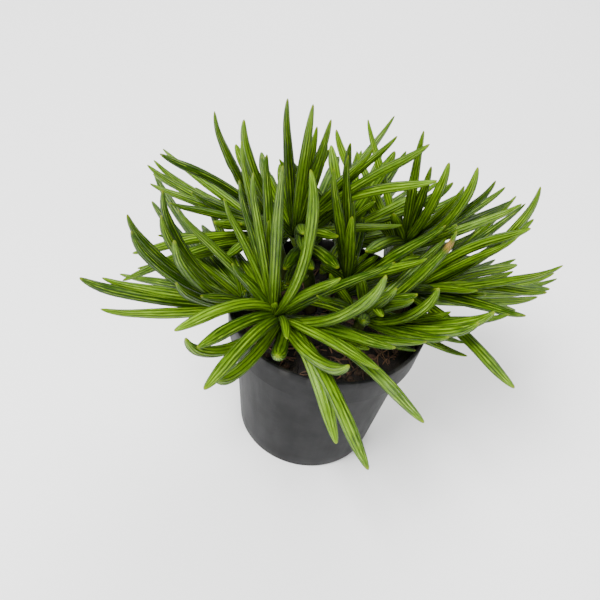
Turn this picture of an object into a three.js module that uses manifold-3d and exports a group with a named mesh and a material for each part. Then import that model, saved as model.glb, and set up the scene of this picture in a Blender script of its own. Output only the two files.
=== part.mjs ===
// Potted himalaya senecio: a round nursery pot, its soil and nine leafy stems.
// Millimetres, +Z up. The origin is the middle of the pot's flat underside.
import * as THREE from 'three';
import { mergeVertices } from 'three/addons/utils/BufferGeometryUtils.js';
import Module from 'manifold-3d';

const wasm = await Module();
wasm.setup();

// Pot: a 5.5 cm nursery pot
const potHeight = 48;
const rimRadius = 27.5;
const wallThickness = 1.1;
const collarHeight = 9;
const collarFootRadius = 26.7;
const shoulderDrop = 1.2;
const shoulderRadius = 24.6;
const baseRadius = 20;
const floorThickness = 1.4;
const cornerRounding = 0.8;
const lipRounding = 0.4;
const drainHoleRadius = 2.6;
const drainHoleRing = 12;
const drainHoleCount = 5;
const drainHoleSides = 16;
const potSides = 32;

// Soil
const soilTop = 43.4;
const soilMound = 1;
const soilRoughness = 0.4;
const soilRings = 4;
const soilSides = 24;
const soilEdgeGap = 0.9;
const seatGap = 0.3;

// Stems
const stemFootRadius = 1.9;
const stemTopRadius = 1.3;
const stemSeatDepth = 7;
const stemSides = 6;
const stemRings = 4;
const stemHoleSides = 12;

// Leaves
const leafRadius = 1.3;
const hiddenLeafRadius = 1.45;
const leafFlatness = 0.86;
const leafBaseWidth = 0.6;
const leafFullWidthAt = 0.3;
const leafTaperPart = 0.4;
const bluntTaperPart = 0.2;
const leafTaperPower = 0.45;
const bluntBend = 20;
const bluntLength = 26;
const leafSides = 4;
const hiddenLeafRings = [0.34, 0.85];
const leafRings = [0.3, 0.7, 0.92];
const bentLeafRings = [0.2, 0.42, 0.64, 0.8, 0.94];
const stronglyBent = 42;

// Where leaves grow on their stem, from its foot (0) to its crown (1)
const levelLeafRoot = 0.66;
const steepLeafRoot = 0.34;
const lowestLeafRoot = 0.35;

// Clearance between leaves of different stems, within a stem, and over the pot and soil
const linkCount = 6;
const nodeGap = 0.5;
const sameStemShare = 0.7;
const freeRootPart = 0.45;
const potGap = 0.5;
const lengthScales = [1, 1.06, 0.94, 1.12, 0.88, 1.2, 0.82, 1.3, 0.75];
const rootLifts = [0, 0.12, -0.12, 0.24, -0.24];
const tipShifts = [0, 4, 8, 13];
const tipTurns = 8;

// Young leaves round each growing tip, and leaves that others hide in the view
const layoutSeed = 11;
const goldenAngle = 137.5;
const youngLeafCount = 4;
const youngLeafLength = [7, 12];
const youngLeafRise = [62, 80];
const youngLeafBend = -10;
const youngLeafRadius = 0.95;
const hiddenLeafLength = [32, 41];
const hiddenLeafRise = [-12, 28];
const hiddenLeafBend = [-30, 14];
const innerLeafCount = 10;
const innerLeafFront = -22;
const innerLeafLength = [17, 30];
const innerLeafRise = [5, 60];
const headingTurns = [0, 7, -7, 14, -14, 21, -21];
const riseLifts = [0, 7, -7];

// The reference view, in its 600 by 600 picture: the eye looks along +Y and down on the plant
const view = {
  lookDown: 44.5,
  roll: 10.8,
  distance: 220,
  focalPixels: 812,
  middlePixel: 300,
  targetColumn: 329,
  targetRow: 305,
};

// Each stem has its foot in the soil and its crown, in mm. Its leaves are read from the view:
// the column and row of the tip, the length in mm and the bend in degrees over the whole length
// (below zero where the leaf droops, above zero where its tip turns up). Where they aren't the
// usual ones, the half width in mm and the part of the stem that the root is moved up by follow.
// The tip of a leaf in the list near is nearer to the eye than its root, and in the list far it is
// further away. Hidden leaves are added by rule: how many, and the two headings in degrees that
// they lie between.
const stems = [
  {
    name: 'stem_front',
    foot: [-9, -9],
    crown: [-14, -17, 57],
    near: [
      [335, 443, 40.5, -75, 1.85],
      [367, 472, 49, -35, 1.75, -0.3],
      [422, 425, 50, -50, 1.6],
      [175, 333, 38, -80, 1.5],
      [197, 350, 34, -50, 1.6],
      [204, 392, 42, -45, 1.6],
      [183, 341, 38, 80, 1.5],
      [215, 383, 34, 60, 1.65],
      [350, 369, 36, 60, 1.6],
      [379, 372, 38, -12, 1.4],
      [396, 351, 38, -14, 1.75, -0.1],
      [428, 345, 44, 15, 1.5],
      [342, 281, 30, -20],
      [389, 280, 40, 35, 1.7, -0.3],
      [397, 265, 44, -12, 1.3],
      [287, 340, 18, -40, 1.1],
      [277, 358, 20, 45, 2, -0.25],
      [260, 270, 17, -8, 1.2],
      [230, 265, 26, -10, 1.5],
      [266, 220, 34, -6],
      [220, 200, 42, -12],
      [174, 212, 46, -10],
      [235, 182, 46, -8],
      [249, 176, 46, -5],
      [264, 153, 50, -4, 1.45],
      [281, 171, 46, -5],
      [236, 142, 53, -8],
      [314, 171, 44, 40, 1.4],
    ],
    far: [],
    hidden: 5,
    headings: [20, 160],
  },
  {
    name: 'stem_left',
    foot: [-17, -5],
    crown: [-22, -12, 54],
    near: [
      [77, 281, 47, 22, 1.5],
      [99, 312, 42, 12, 1.4],
      [171, 243, 42, 35, 1.5],
      [174, 285, 32, 30, 1.4],
      [200, 298, 24, -20],
      [123, 216, 48, 38],
      [127, 233, 46, 38],
      [157, 217, 44, 32],
      [158, 191, 50, 36],
    ],
    far: [
      [151, 203, 42, 20],
      [153, 174, 50, 25],
    ],
    hidden: 7,
    headings: [100, 215],
  },
  {
    name: 'stem_left_back',
    foot: [-14, 9],
    crown: [-21, 13, 64],
    near: [
      [224, 260, 26, -45],
      [213, 224, 24, -10, 1.5],
      [168, 205, 33, -12],
      [211, 114, 47, 14],
      [222, 155, 31, -6],
      [149, 186, 36, -12],
      [158, 157, 42, -28],
      [124, 283, 46, -50],
      [133, 256, 42, -40],
    ],
    far: [
      [162, 151, 38, -8],
      [152, 162, 38, 16],
      [195, 189, 28, -6],
    ],
    hidden: 11,
    headings: [60, 220],
  },
  {
    name: 'stem_middle',
    foot: [-5, 1],
    crown: [-13, 3, 68],
    near: [
      [303, 236, 25, -50, 1.4],
      [303, 253, 27, -50, 1.45],
      [284, 271, 24, -30, 1.6],
      [338, 270, 24, -35, 1.7],
      [338, 239, 27, -35, 1.35],
      [285, 102, 46, -4],
      [240, 122, 47, 22],
      [305, 184, 26, -6, 1.4],
      [312, 110, 45, -4],
      [317, 130, 39, -5],
      [331, 125, 42, -8],
      [328, 147, 36, -8],
      [402, 227, 34, -15, 1.3],
      [400, 139, 44, -18],
      [376, 151, 38, -12],
      [438, 185, 46, -40],
      [432, 149, 48, -22],
    ],
    far: [
      [394, 127, 46, -6],
    ],
    hidden: 8,
    headings: [60, 200],
  },
  {
    name: 'stem_centre',
    foot: [2, -3],
    crown: [3, -1, 60],
    near: [
      [351, 200, 31, -6, 1.6],
      [351, 219, 30, -6, 1.6],
      [341, 216, 26, -8],
      [331, 176, 38, -6, 1.5],
      [327, 172, 40, -6],
      [320, 266, 15, -20, 1.2],
      [339, 243, 17, -10, 1.1],
      [442, 222, 38, -15, 1.7],
      [341, 158, 42, -8, 1.4],
    ],
    far: [
      [476, 234, 42, 8],
    ],
    hidden: 8,
    headings: [-30, 130],
  },
  {
    name: 'stem_back',
    foot: [0, 13],
    crown: [0, 13, 66],
    near: [
      [277, 161, 34, -8],
      [285, 157, 35, -5],
      [286, 175, 30, -8],
      [349, 145, 32, -4],
      [459, 184, 42, 36],
    ],
    far: [
      [357, 153, 28, -6],
      [361, 152, 32, -6],
      [411, 189, 30, -8],
      [462, 195, 42, 22],
    ],
    hidden: 14,
    headings: [20, 170],
  },
  {
    name: 'stem_right_front',
    foot: [8, -8],
    crown: [9, -9, 55.5],
    near: [
      [328, 275, 30, -12],
      [361, 277, 22, -8],
      [315, 298, 30, -15],
      [460, 234, 42, 16, 1.65],
      [396, 292, 28, -10, 1.7],
      [418, 297, 26, -25, 1.4],
      [414, 303, 26, -15, 1.7],
      [441, 290, 30, 50, 1.5],
      [382, 318, 19, -60, 1.4],
      [363, 323, 26, -10, 1.5],
      [452, 314, 28, 12],
      [497, 315, 42, 35, 1.75],
      [481, 326, 38, 28, 1.8],
      [450, 340, 32, 18, 1.7],
    ],
    far: [],
    hidden: 4,
    headings: [-40, 60],
  },
  {
    name: 'stem_right',
    foot: [18, 4],
    crown: [22, 5, 56],
    near: [
      [513, 391, 46, -30, 1.6],
      [565, 270, 45, 8],
      [556, 276, 43, 18],
      [547, 296, 41, -25, 1.4],
      [478, 293, 29, -12],
      [526, 319, 38, -12, 1.6],
      [520, 240, 40, -6],
      [532, 232, 42, -35, 1.4],
      [545, 189, 50, 38],
    ],
    far: [
      [557, 281, 43, 18],
      [537, 299, 40, 20],
      [515, 261, 36, -5],
      [534, 221, 44, 24, 1.4],
      [525, 206, 44, -6],
      [516, 198, 44, 6],
    ],
    hidden: 12,
    headings: [0, 120],
  },
  {
    name: 'stem_back_right',
    foot: [12, 14],
    crown: [17, 15, 62],
    near: [
      [365, 254, 24, -25, 1.6],
      [366, 120, 47, -6],
      [422, 134, 43, -4],
      [431, 169, 33, -5],
      [450, 165, 38, 25],
      [480, 170, 44, 42, 1.4],
      [498, 184, 42, 16],
    ],
    far: [
      [334, 130, 38, 24],
    ],
    hidden: 13,
    headings: [-10, 130],
  },
];

const radians = THREE.MathUtils.degToRad;

// A seeded draw between 0 and 1, and one between two limits
function makeDraw(seed) {
  let state = seed;
  return () => {
    state = (Math.imul(state, 1664525) + 1013904223) >>> 0;
    return state / 4294967296;
  };
}

function between([low, high], share) {
  return low + (high - low) * share;
}

// The line of sight through a place in the reference view
function makeSightLines() {
  const down = radians(view.lookDown);
  const roll = radians(view.roll);
  const forward = new THREE.Vector3(0, Math.cos(down), -Math.sin(down));
  const level = new THREE.Vector3(1, 0, 0);
  const above = level.clone().cross(forward);
  const right = level.clone().multiplyScalar(Math.cos(roll)).addScaledVector(above, Math.sin(roll));
  const top = above.clone().multiplyScalar(Math.cos(roll)).addScaledVector(level, -Math.sin(roll));
  const offset = (pixel) => (pixel - view.middlePixel) / view.focalPixels;
  const toward = (column, row) => forward.clone()
    .addScaledVector(right, offset(column))
    .addScaledVector(top, -offset(row));
  const eye = new THREE.Vector3(0, 0, potHeight)
    .addScaledVector(toward(view.targetColumn, view.targetRow), -view.distance);
  return (column, row) => ({ eye, direction: toward(column, row).normalize() });
}

const sightLine = makeSightLines();

// A leaf is an arc in an upright plane: its root, its heading, its rise at the root, and the bend
// over its length. Angles are in radians, and part runs from its root (0) to its tip (1).
function pointOnLeaf(leaf, part) {
  const { root, heading, rise, bend, length } = leaf;
  const run = length * (Math.sin(rise + bend * part) - Math.sin(rise)) / bend;
  const climb = length * (Math.cos(rise) - Math.cos(rise + bend * part)) / bend;
  return new THREE.Vector3(
    root.x + run * Math.cos(heading),
    root.y + run * Math.sin(heading),
    root.z + climb,
  );
}

function leafHalfWidth(leaf, part) {
  const swell = Math.min(1, part / leafFullWidthAt);
  const base = leafBaseWidth + (1 - leafBaseWidth) * swell * swell * (3 - 2 * swell);
  const blunt = Math.abs(leaf.bend) >= radians(bluntBend) || leaf.length < bluntLength;
  const taperPart = blunt ? bluntTaperPart : leafTaperPart;
  return leaf.radius * base * Math.min(1, (1 - part) / taperPart) ** leafTaperPower;
}

// A stem stands upright in the soil and leans out to its crown
function stemCurve(stem) {
  const foot = new THREE.Vector3(stem.foot[0], stem.foot[1], soilTop);
  const crown = new THREE.Vector3(...stem.crown);
  const knee = new THREE.Vector3(foot.x, foot.y, (foot.z + crown.z) / 2);
  return new THREE.QuadraticBezierCurve3(foot, knee, crown);
}

function stemHalfWidth(part) {
  return between([stemFootRadius, stemTopRadius], Math.max(0, part));
}

// Straight links along a leaf or a stem stand for it in the clearance rule
function linksAlong(pointAt, radiusAt) {
  const links = [];
  for (let i = 0; i < linkCount; i += 1) {
    const line = new THREE.Line3(pointAt(i / linkCount), pointAt((i + 1) / linkCount));
    const radius = Math.max(radiusAt(i / linkCount), radiusAt((i + 1) / linkCount));
    links.push({ line, radius, part: (i + 0.5) / linkCount });
  }
  const middle = pointAt(0.5);
  const reach = Math.max(middle.distanceTo(pointAt(0)), middle.distanceTo(pointAt(1))) + links[0].radius;
  return { links, middle, reach };
}

function leafBody(leaf) {
  return linksAlong((part) => pointOnLeaf(leaf, part), (part) => leafHalfWidth(leaf, part));
}

function stemBody(stem) {
  const curve = stemCurve(stem);
  return linksAlong((part) => curve.getPoint(part), stemHalfWidth);
}

// A leaf stays above the rim, outside the pot or over the soil
function clearsPot(leaf) {
  for (let i = 0; i <= 2 * linkCount; i += 1) {
    const part = i / (2 * linkCount);
    const point = pointOnLeaf(leaf, part);
    const radius = leafHalfWidth(leaf, part);
    const reach = Math.hypot(point.x, point.y);
    const low = point.z - radius;
    const above = low > potHeight + potGap;
    const outside = reach - radius > rimRadius + potGap && low > potGap;
    const within = reach + radius < rimRadius - wallThickness - potGap;
    if (!above && !outside && !(within && low > soilTop + soilMound)) {
      return false;
    }
  }
  return true;
}

// Leaves of one stem may meet near their roots, and leaves of two stems meet nowhere
function clears(body, stemName, other) {
  const sameStem = other.stemName === stemName;
  const tooFar = body.reach + other.body.reach + nodeGap;
  if ((sameStem && other.isStem) || body.middle.distanceTo(other.body.middle) > tooFar) {
    return true;
  }
  return !body.links.some((link) => other.body.links.some((otherLink) => {
    if (sameStem && (link.part < freeRootPart || otherLink.part < freeRootPart)) {
      return false;
    }
    const touching = link.radius + otherLink.radius;
    const apart = sameStem ? touching * sameStemShare : touching + nodeGap;
    return link.line.distanceSqToLine3(otherLink.line) < apart * apart;
  }));
}

// Steeper leaves grow higher on their stem
function rootOf(stem, rise, lifted) {
  const part = levelLeafRoot + steepLeafRoot * Math.sin(rise) + lifted;
  return stemCurve(stem).getPoint(THREE.MathUtils.clamp(part, lowestLeafRoot, 1));
}

// A leaf with its tip on a line of sight, on the nearer (-1) or the further side (1) of its root
function seenLeaf(stem, seen, side, lifted) {
  const { eye, direction } = sightLine(seen.column, seen.row);
  const chordLength = seen.length * Math.sin(seen.bend / 2) / (seen.bend / 2);
  let rise = 0;
  let root;
  let chord;
  for (let pass = 0; pass < 3; pass += 1) {
    root = rootOf(stem, rise, lifted);
    const nearest = eye.clone().addScaledVector(direction, root.clone().sub(eye).dot(direction));
    const aside = nearest.distanceTo(root);
    const depth = Math.sqrt(Math.max(0, chordLength ** 2 - aside ** 2));
    chord = nearest.addScaledVector(direction, side * depth).sub(root);
    rise = Math.atan2(chord.z, Math.hypot(chord.x, chord.y));
  }
  return {
    root,
    heading: Math.atan2(chord.y, chord.x),
    rise: rise - seen.bend / 2,
    bend: seen.bend,
    length: seen.length * chord.length() / chordLength,
    radius: seen.radius,
  };
}

// The changes tried on a seen leaf: its length, then its root's height, then its tip's place
function* seenTries(stem, row, side) {
  const [column, line, length, bend, radius = leafRadius, raised = 0] = row;
  for (const shift of tipShifts) {
    for (let turn = 0; turn < (shift === 0 ? 1 : tipTurns); turn += 1) {
      const angle = 2 * Math.PI * turn / tipTurns;
      for (const lifted of rootLifts) {
        for (const scale of lengthScales) {
          const seen = {
            column: column + shift * Math.cos(angle),
            row: line + shift * Math.sin(angle),
            length: length * scale,
            bend: radians(bend),
            radius,
          };
          yield seenLeaf(stem, seen, side, raised + lifted);
        }
      }
    }
  }
}

// The changes tried on a leaf that a rule places: its heading, then its rise
function* ruledTries(stem, leaf) {
  for (const lift of riseLifts) {
    for (const turn of headingTurns) {
      const rise = leaf.rise + radians(lift);
      yield { ...leaf, rise, heading: leaf.heading + radians(turn), root: rootOf(stem, rise, 0) };
    }
  }
}

// The tips of the inner leaves stay behind the front of the plant
function* innerTries(stem, leaf) {
  for (const tried of ruledTries(stem, leaf)) {
    if (pointOnLeaf(tried, 1).y > innerLeafFront) {
      yield tried;
    }
  }
}

// The first try that clears the pot and all that is placed already is placed
function placeFirstClear(stemName, tries, placed) {
  for (const leaf of tries) {
    const body = leafBody(leaf);
    if (clearsPot(leaf) && placed.every((other) => clears(body, stemName, other))) {
      placed.push({ stemName, body, leaf });
      return;
    }
  }
}

function placeYoungLeaves(stem, placed) {
  for (let i = 0; i < youngLeafCount; i += 1) {
    const share = i / (youngLeafCount - 1);
    const leaf = {
      heading: radians(i * goldenAngle),
      rise: radians(between(youngLeafRise, share)),
      bend: radians(youngLeafBend),
      length: between(youngLeafLength, 1 - share),
      radius: youngLeafRadius,
      hidden: true,
    };
    placeFirstClear(stem.name, ruledTries(stem, leaf), placed);
  }
}

function placeHiddenLeaves(stem, placed, draw) {
  for (let i = 0; i < stem.hidden; i += 1) {
    const leaf = {
      heading: radians(between(stem.headings, (i * goldenAngle / 360) % 1)),
      rise: radians(between(hiddenLeafRise, draw())),
      bend: radians(between(hiddenLeafBend, draw())),
      length: between(hiddenLeafLength, draw()),
      radius: hiddenLeafRadius,
      hidden: true,
    };
    placeFirstClear(stem.name, ruledTries(stem, leaf), placed);
  }
}

// Shorter leaves fill the inside of the plant, on all sides of each stem
function placeInnerLeaves(stem, placed, draw) {
  for (let i = 0; i < innerLeafCount; i += 1) {
    const leaf = {
      heading: radians(i * goldenAngle),
      rise: radians(between(innerLeafRise, draw())),
      bend: radians(between(hiddenLeafBend, draw())),
      length: between(innerLeafLength, draw()),
      radius: hiddenLeafRadius,
      hidden: true,
    };
    placeFirstClear(stem.name, innerTries(stem, leaf), placed);
  }
}

// Young leaves are placed first, then the seen leaves from short to long, then the hidden ones
function layOut() {
  const placed = stems.map((stem) => ({ stemName: stem.name, isStem: true, body: stemBody(stem) }));
  stems.forEach((stem) => placeYoungLeaves(stem, placed));
  const seenLeaves = stems.flatMap((stem) => [
    ...stem.near.map((row) => ({ stem, row, side: -1 })),
    ...stem.far.map((row) => ({ stem, row, side: 1 })),
  ]);
  const lengthOf = ({ row }) => row[2];
  seenLeaves.sort((one, other) => lengthOf(one) - lengthOf(other));
  for (const { stem, row, side } of seenLeaves) {
    placeFirstClear(stem.name, seenTries(stem, row, side), placed);
  }
  const draw = makeDraw(layoutSeed);
  stems.forEach((stem) => placeHiddenLeaves(stem, placed, draw));
  stems.forEach((stem) => placeInnerLeaves(stem, placed, draw));
  return placed.filter(({ leaf }) => leaf);
}

// A closed solid from a geometry: shared vertices are merged and empty triangles left out
function solidOf(geometry) {
  geometry.deleteAttribute('normal');
  geometry.deleteAttribute('uv');
  const merged = mergeVertices(geometry, 1e-4);
  const corners = merged.index.array;
  const kept = [];
  for (let i = 0; i < corners.length; i += 3) {
    const [a, b, c] = corners.slice(i, i + 3);
    if (a !== b && b !== c && c !== a) {
      kept.push(a, b, c);
    }
  }
  return new wasm.Manifold(new wasm.Mesh({
    numProp: 3,
    vertProperties: new Float32Array(merged.attributes.position.array),
    triVerts: new Uint32Array(kept),
  }));
}

function geometryOf(solid) {
  const mesh = solid.getMesh();
  const geometry = new THREE.BufferGeometry();
  geometry.setAttribute('position', new THREE.BufferAttribute(new Float32Array(mesh.vertProperties), 3));
  geometry.setIndex(new THREE.BufferAttribute(new Uint32Array(mesh.triVerts), 1));
  geometry.computeVertexNormals();
  return geometry;
}

// A solid turned about Z from [radius, height] pairs
function turned(profile, sides) {
  const points = profile.map(([radius, height]) => new THREE.Vector2(radius, height));
  return new THREE.LatheGeometry(points, sides).rotateX(Math.PI / 2);
}

// A turned spindle laid along a path: each of its rings is set square to the path
function spindle(rings, sides, path) {
  const ends = rings.map((part) => new THREE.Vector2(path.radiusAt(part), part));
  const profile = [new THREE.Vector2(0, rings[0]), ...ends];
  if (ends[ends.length - 1].x > 0) {
    profile.push(new THREE.Vector2(0, rings[rings.length - 1]));
  }
  const geometry = new THREE.LatheGeometry(profile, sides);
  const position = geometry.attributes.position;
  for (let i = 0; i < position.count; i += 1) {
    const { centre, side, over } = path.frameAt(position.getY(i));
    centre.addScaledVector(side, position.getX(i)).addScaledVector(over, position.getZ(i));
    position.setXYZ(i, centre.x, centre.y, centre.z);
  }
  return solidOf(geometry);
}

function leafSolid(leaf) {
  const straight = leaf.hidden ? hiddenLeafRings : leafRings;
  const rings = Math.abs(leaf.bend) > radians(stronglyBent) ? bentLeafRings : straight;
  return spindle([0, ...rings, 1], leafSides, {
    radiusAt: (part) => (part === 1 ? 0 : leafHalfWidth(leaf, part)),
    frameAt: (part) => {
      const slope = leaf.rise + leaf.bend * part;
      const side = new THREE.Vector3(Math.sin(leaf.heading), -Math.cos(leaf.heading), 0);
      const over = new THREE.Vector3(
        -Math.sin(slope) * Math.cos(leaf.heading),
        -Math.sin(slope) * Math.sin(leaf.heading),
        Math.cos(slope),
      ).multiplyScalar(leafFlatness);
      return { centre: pointOnLeaf(leaf, part), side, over };
    },
  });
}

// The part of the path below 0 stands upright in the soil
function stemSolid(stem) {
  const curve = stemCurve(stem);
  const rings = [-1];
  for (let i = 0; i <= stemRings; i += 1) {
    rings.push(i / stemRings);
  }
  return spindle(rings, stemSides, {
    radiusAt: stemHalfWidth,
    frameAt: (part) => {
      const centre = curve.getPoint(Math.max(0, part));
      centre.z += Math.min(0, part) * stemSeatDepth;
      const along = curve.getTangent(Math.max(0, part));
      const side = new THREE.Vector3(1, 0, 0).addScaledVector(along, -along.x).normalize();
      const over = new THREE.Vector3().crossVectors(side, along);
      return { centre, side, over };
    },
  });
}

function leafyStem(stem, leaves) {
  return leaves.reduce((solid, { leaf }) => solid.add(leafSolid(leaf)), stemSolid(stem));
}

// The pot's inner wall, followed by the soil at a distance
function innerProfile(gap) {
  const inset = wallThickness + gap;
  const ledge = potHeight - collarHeight + wallThickness + gap;
  return [
    [baseRadius - inset, floorThickness + gap],
    [shoulderRadius - inset, ledge - shoulderDrop],
    [collarFootRadius - inset, ledge],
  ];
}

function potSolid() {
  const collarFoot = potHeight - collarHeight;
  const lipRadius = rimRadius - wallThickness;
  const outer = [
    [0, 0],
    [baseRadius - cornerRounding, 0],
    [baseRadius, cornerRounding],
    [shoulderRadius, collarFoot - shoulderDrop],
    [collarFootRadius, collarFoot],
    [rimRadius, potHeight - lipRounding],
    [rimRadius - lipRounding, potHeight],
    [lipRadius + lipRounding, potHeight],
    [lipRadius, potHeight - lipRounding],
  ];
  const inner = [...innerProfile(0).reverse(), [0, floorThickness]];
  let pot = solidOf(turned([...outer, ...inner], potSides));
  for (let i = 0; i < drainHoleCount; i += 1) {
    const angle = 2 * Math.PI * i / drainHoleCount;
    const depth = 3 * floorThickness;
    const hole = new THREE.CylinderGeometry(drainHoleRadius, drainHoleRadius, depth, drainHoleSides)
      .rotateX(Math.PI / 2)
      .translate(drainHoleRing * Math.cos(angle), drainHoleRing * Math.sin(angle), floorThickness / 2);
    pot = pot.subtract(solidOf(hole));
  }
  return pot;
}

// The soil fills the pot, is mounded and rough on top, and has a plain hole for each stem
function soilSolid() {
  const wall = innerProfile(seatGap);
  const topRadius = rimRadius - wallThickness - soilEdgeGap;
  const top = [];
  for (let i = 0; i <= soilRings; i += 1) {
    const share = 1 - i / soilRings;
    top.push([topRadius * share, soilTop + soilMound * (1 - share * share)]);
  }
  const geometry = turned([[0, floorThickness + seatGap], ...wall, ...top], soilSides);
  const position = geometry.attributes.position;
  for (let i = 0; i < position.count; i += 1) {
    const [x, y, z] = [position.getX(i), position.getY(i), position.getZ(i)];
    if (z > soilTop - seatGap) {
      const ripple = Math.sin(1.3 * x + 0.4 * y) * Math.cos(1.1 * y - 0.5 * x);
      position.setZ(i, z + soilRoughness * ripple);
    }
  }
  let soil = solidOf(geometry);
  for (const { foot } of stems) {
    const depth = stemSeatDepth + seatGap;
    const radius = stemFootRadius + seatGap;
    const hole = new THREE.CylinderGeometry(radius, radius, 2 * depth, stemHoleSides)
      .rotateX(Math.PI / 2)
      .translate(foot[0], foot[1], soilTop);
    soil = soil.subtract(solidOf(hole));
  }
  return soil;
}

function named(name, solid, colour, roughness) {
  const material = new THREE.MeshStandardMaterial({ color: colour, roughness, metalness: 0 });
  const mesh = new THREE.Mesh(geometryOf(solid), material);
  mesh.name = name;
  return mesh;
}

const plant = new THREE.Group();
plant.add(named('pot', potSolid(), 0x3a3b3e, 0.6));
plant.add(named('soil', soilSolid(), 0x3b291e, 0.95));
const leaves = layOut();
for (const stem of stems) {
  const own = leaves.filter(({ stemName }) => stemName === stem.name);
  plant.add(named(stem.name, leafyStem(stem, own), 0x5f9320, 0.4));
}

export default plant;
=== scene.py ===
"""The potted himalaya senecio: a small nursery pot, its soil and nine leafy stems.

Metres, +Z up, with the origin at the middle of the pot's flat underside. The leaves are laid
out by the same rule, in millimetres, as the solids that the finer pieces stand for.
"""

import logging
import math
from collections.abc import Iterator
from contextlib import contextmanager
from dataclasses import dataclass, field
from enum import Enum

import bpy
import numpy as np
from mathutils import Matrix, Vector, noise


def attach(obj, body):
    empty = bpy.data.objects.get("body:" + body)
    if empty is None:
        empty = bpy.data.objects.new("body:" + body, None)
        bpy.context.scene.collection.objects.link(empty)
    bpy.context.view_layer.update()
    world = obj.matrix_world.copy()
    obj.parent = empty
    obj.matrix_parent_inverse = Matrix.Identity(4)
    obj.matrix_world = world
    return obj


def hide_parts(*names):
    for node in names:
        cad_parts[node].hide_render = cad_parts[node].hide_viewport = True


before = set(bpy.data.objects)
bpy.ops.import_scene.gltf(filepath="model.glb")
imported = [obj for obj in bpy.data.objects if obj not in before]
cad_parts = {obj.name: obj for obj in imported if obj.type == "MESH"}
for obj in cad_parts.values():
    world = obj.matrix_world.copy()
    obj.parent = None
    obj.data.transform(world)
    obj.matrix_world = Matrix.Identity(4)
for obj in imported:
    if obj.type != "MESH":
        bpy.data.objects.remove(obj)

LOG = logging.getLogger("senecio")
MM = 0.001
GOLDEN_ANGLE = 137.5
BODY = "root"
Numbers = tuple[float, ...]
Colour = tuple[float, float, float, float]


class LeafSide(Enum):
    """Where a leaf's tip lies from its root: nearer to the eye or further away."""

    NEAR = -1.0
    FAR = 1.0


class Slot(Enum):
    """The record's material slots."""

    POT = "pot_plastic"
    SOIL = "potting_mix"
    LEAF = "leaf"


@dataclass(frozen=True)
class SeenLeaf:
    """A leaf that was read from the reference view.

    The column and row of its tip are in pixels of that view. Its length and its half width are
    in mm and its bend is in degrees. Its root is raised by a part of the stem's length.
    """

    column: float
    row: float
    length: float
    bend: float
    half_width: float = 1.3
    raised: float = 0
    scarred: bool = False


@dataclass(frozen=True)
class StemPlan:
    """One stem, in mm: its foot and its crown, and the leaves that it bears.

    The near leaves point at the eye and the far ones away from it. The number of hidden leaves
    follows, with the two headings, in degrees, that they spread between.
    """

    name: str
    foot: tuple[float, float]
    crown: tuple[float, float, float]
    near: list[SeenLeaf]
    far: list[SeenLeaf]
    hidden: int
    headings: tuple[float, float]


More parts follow.
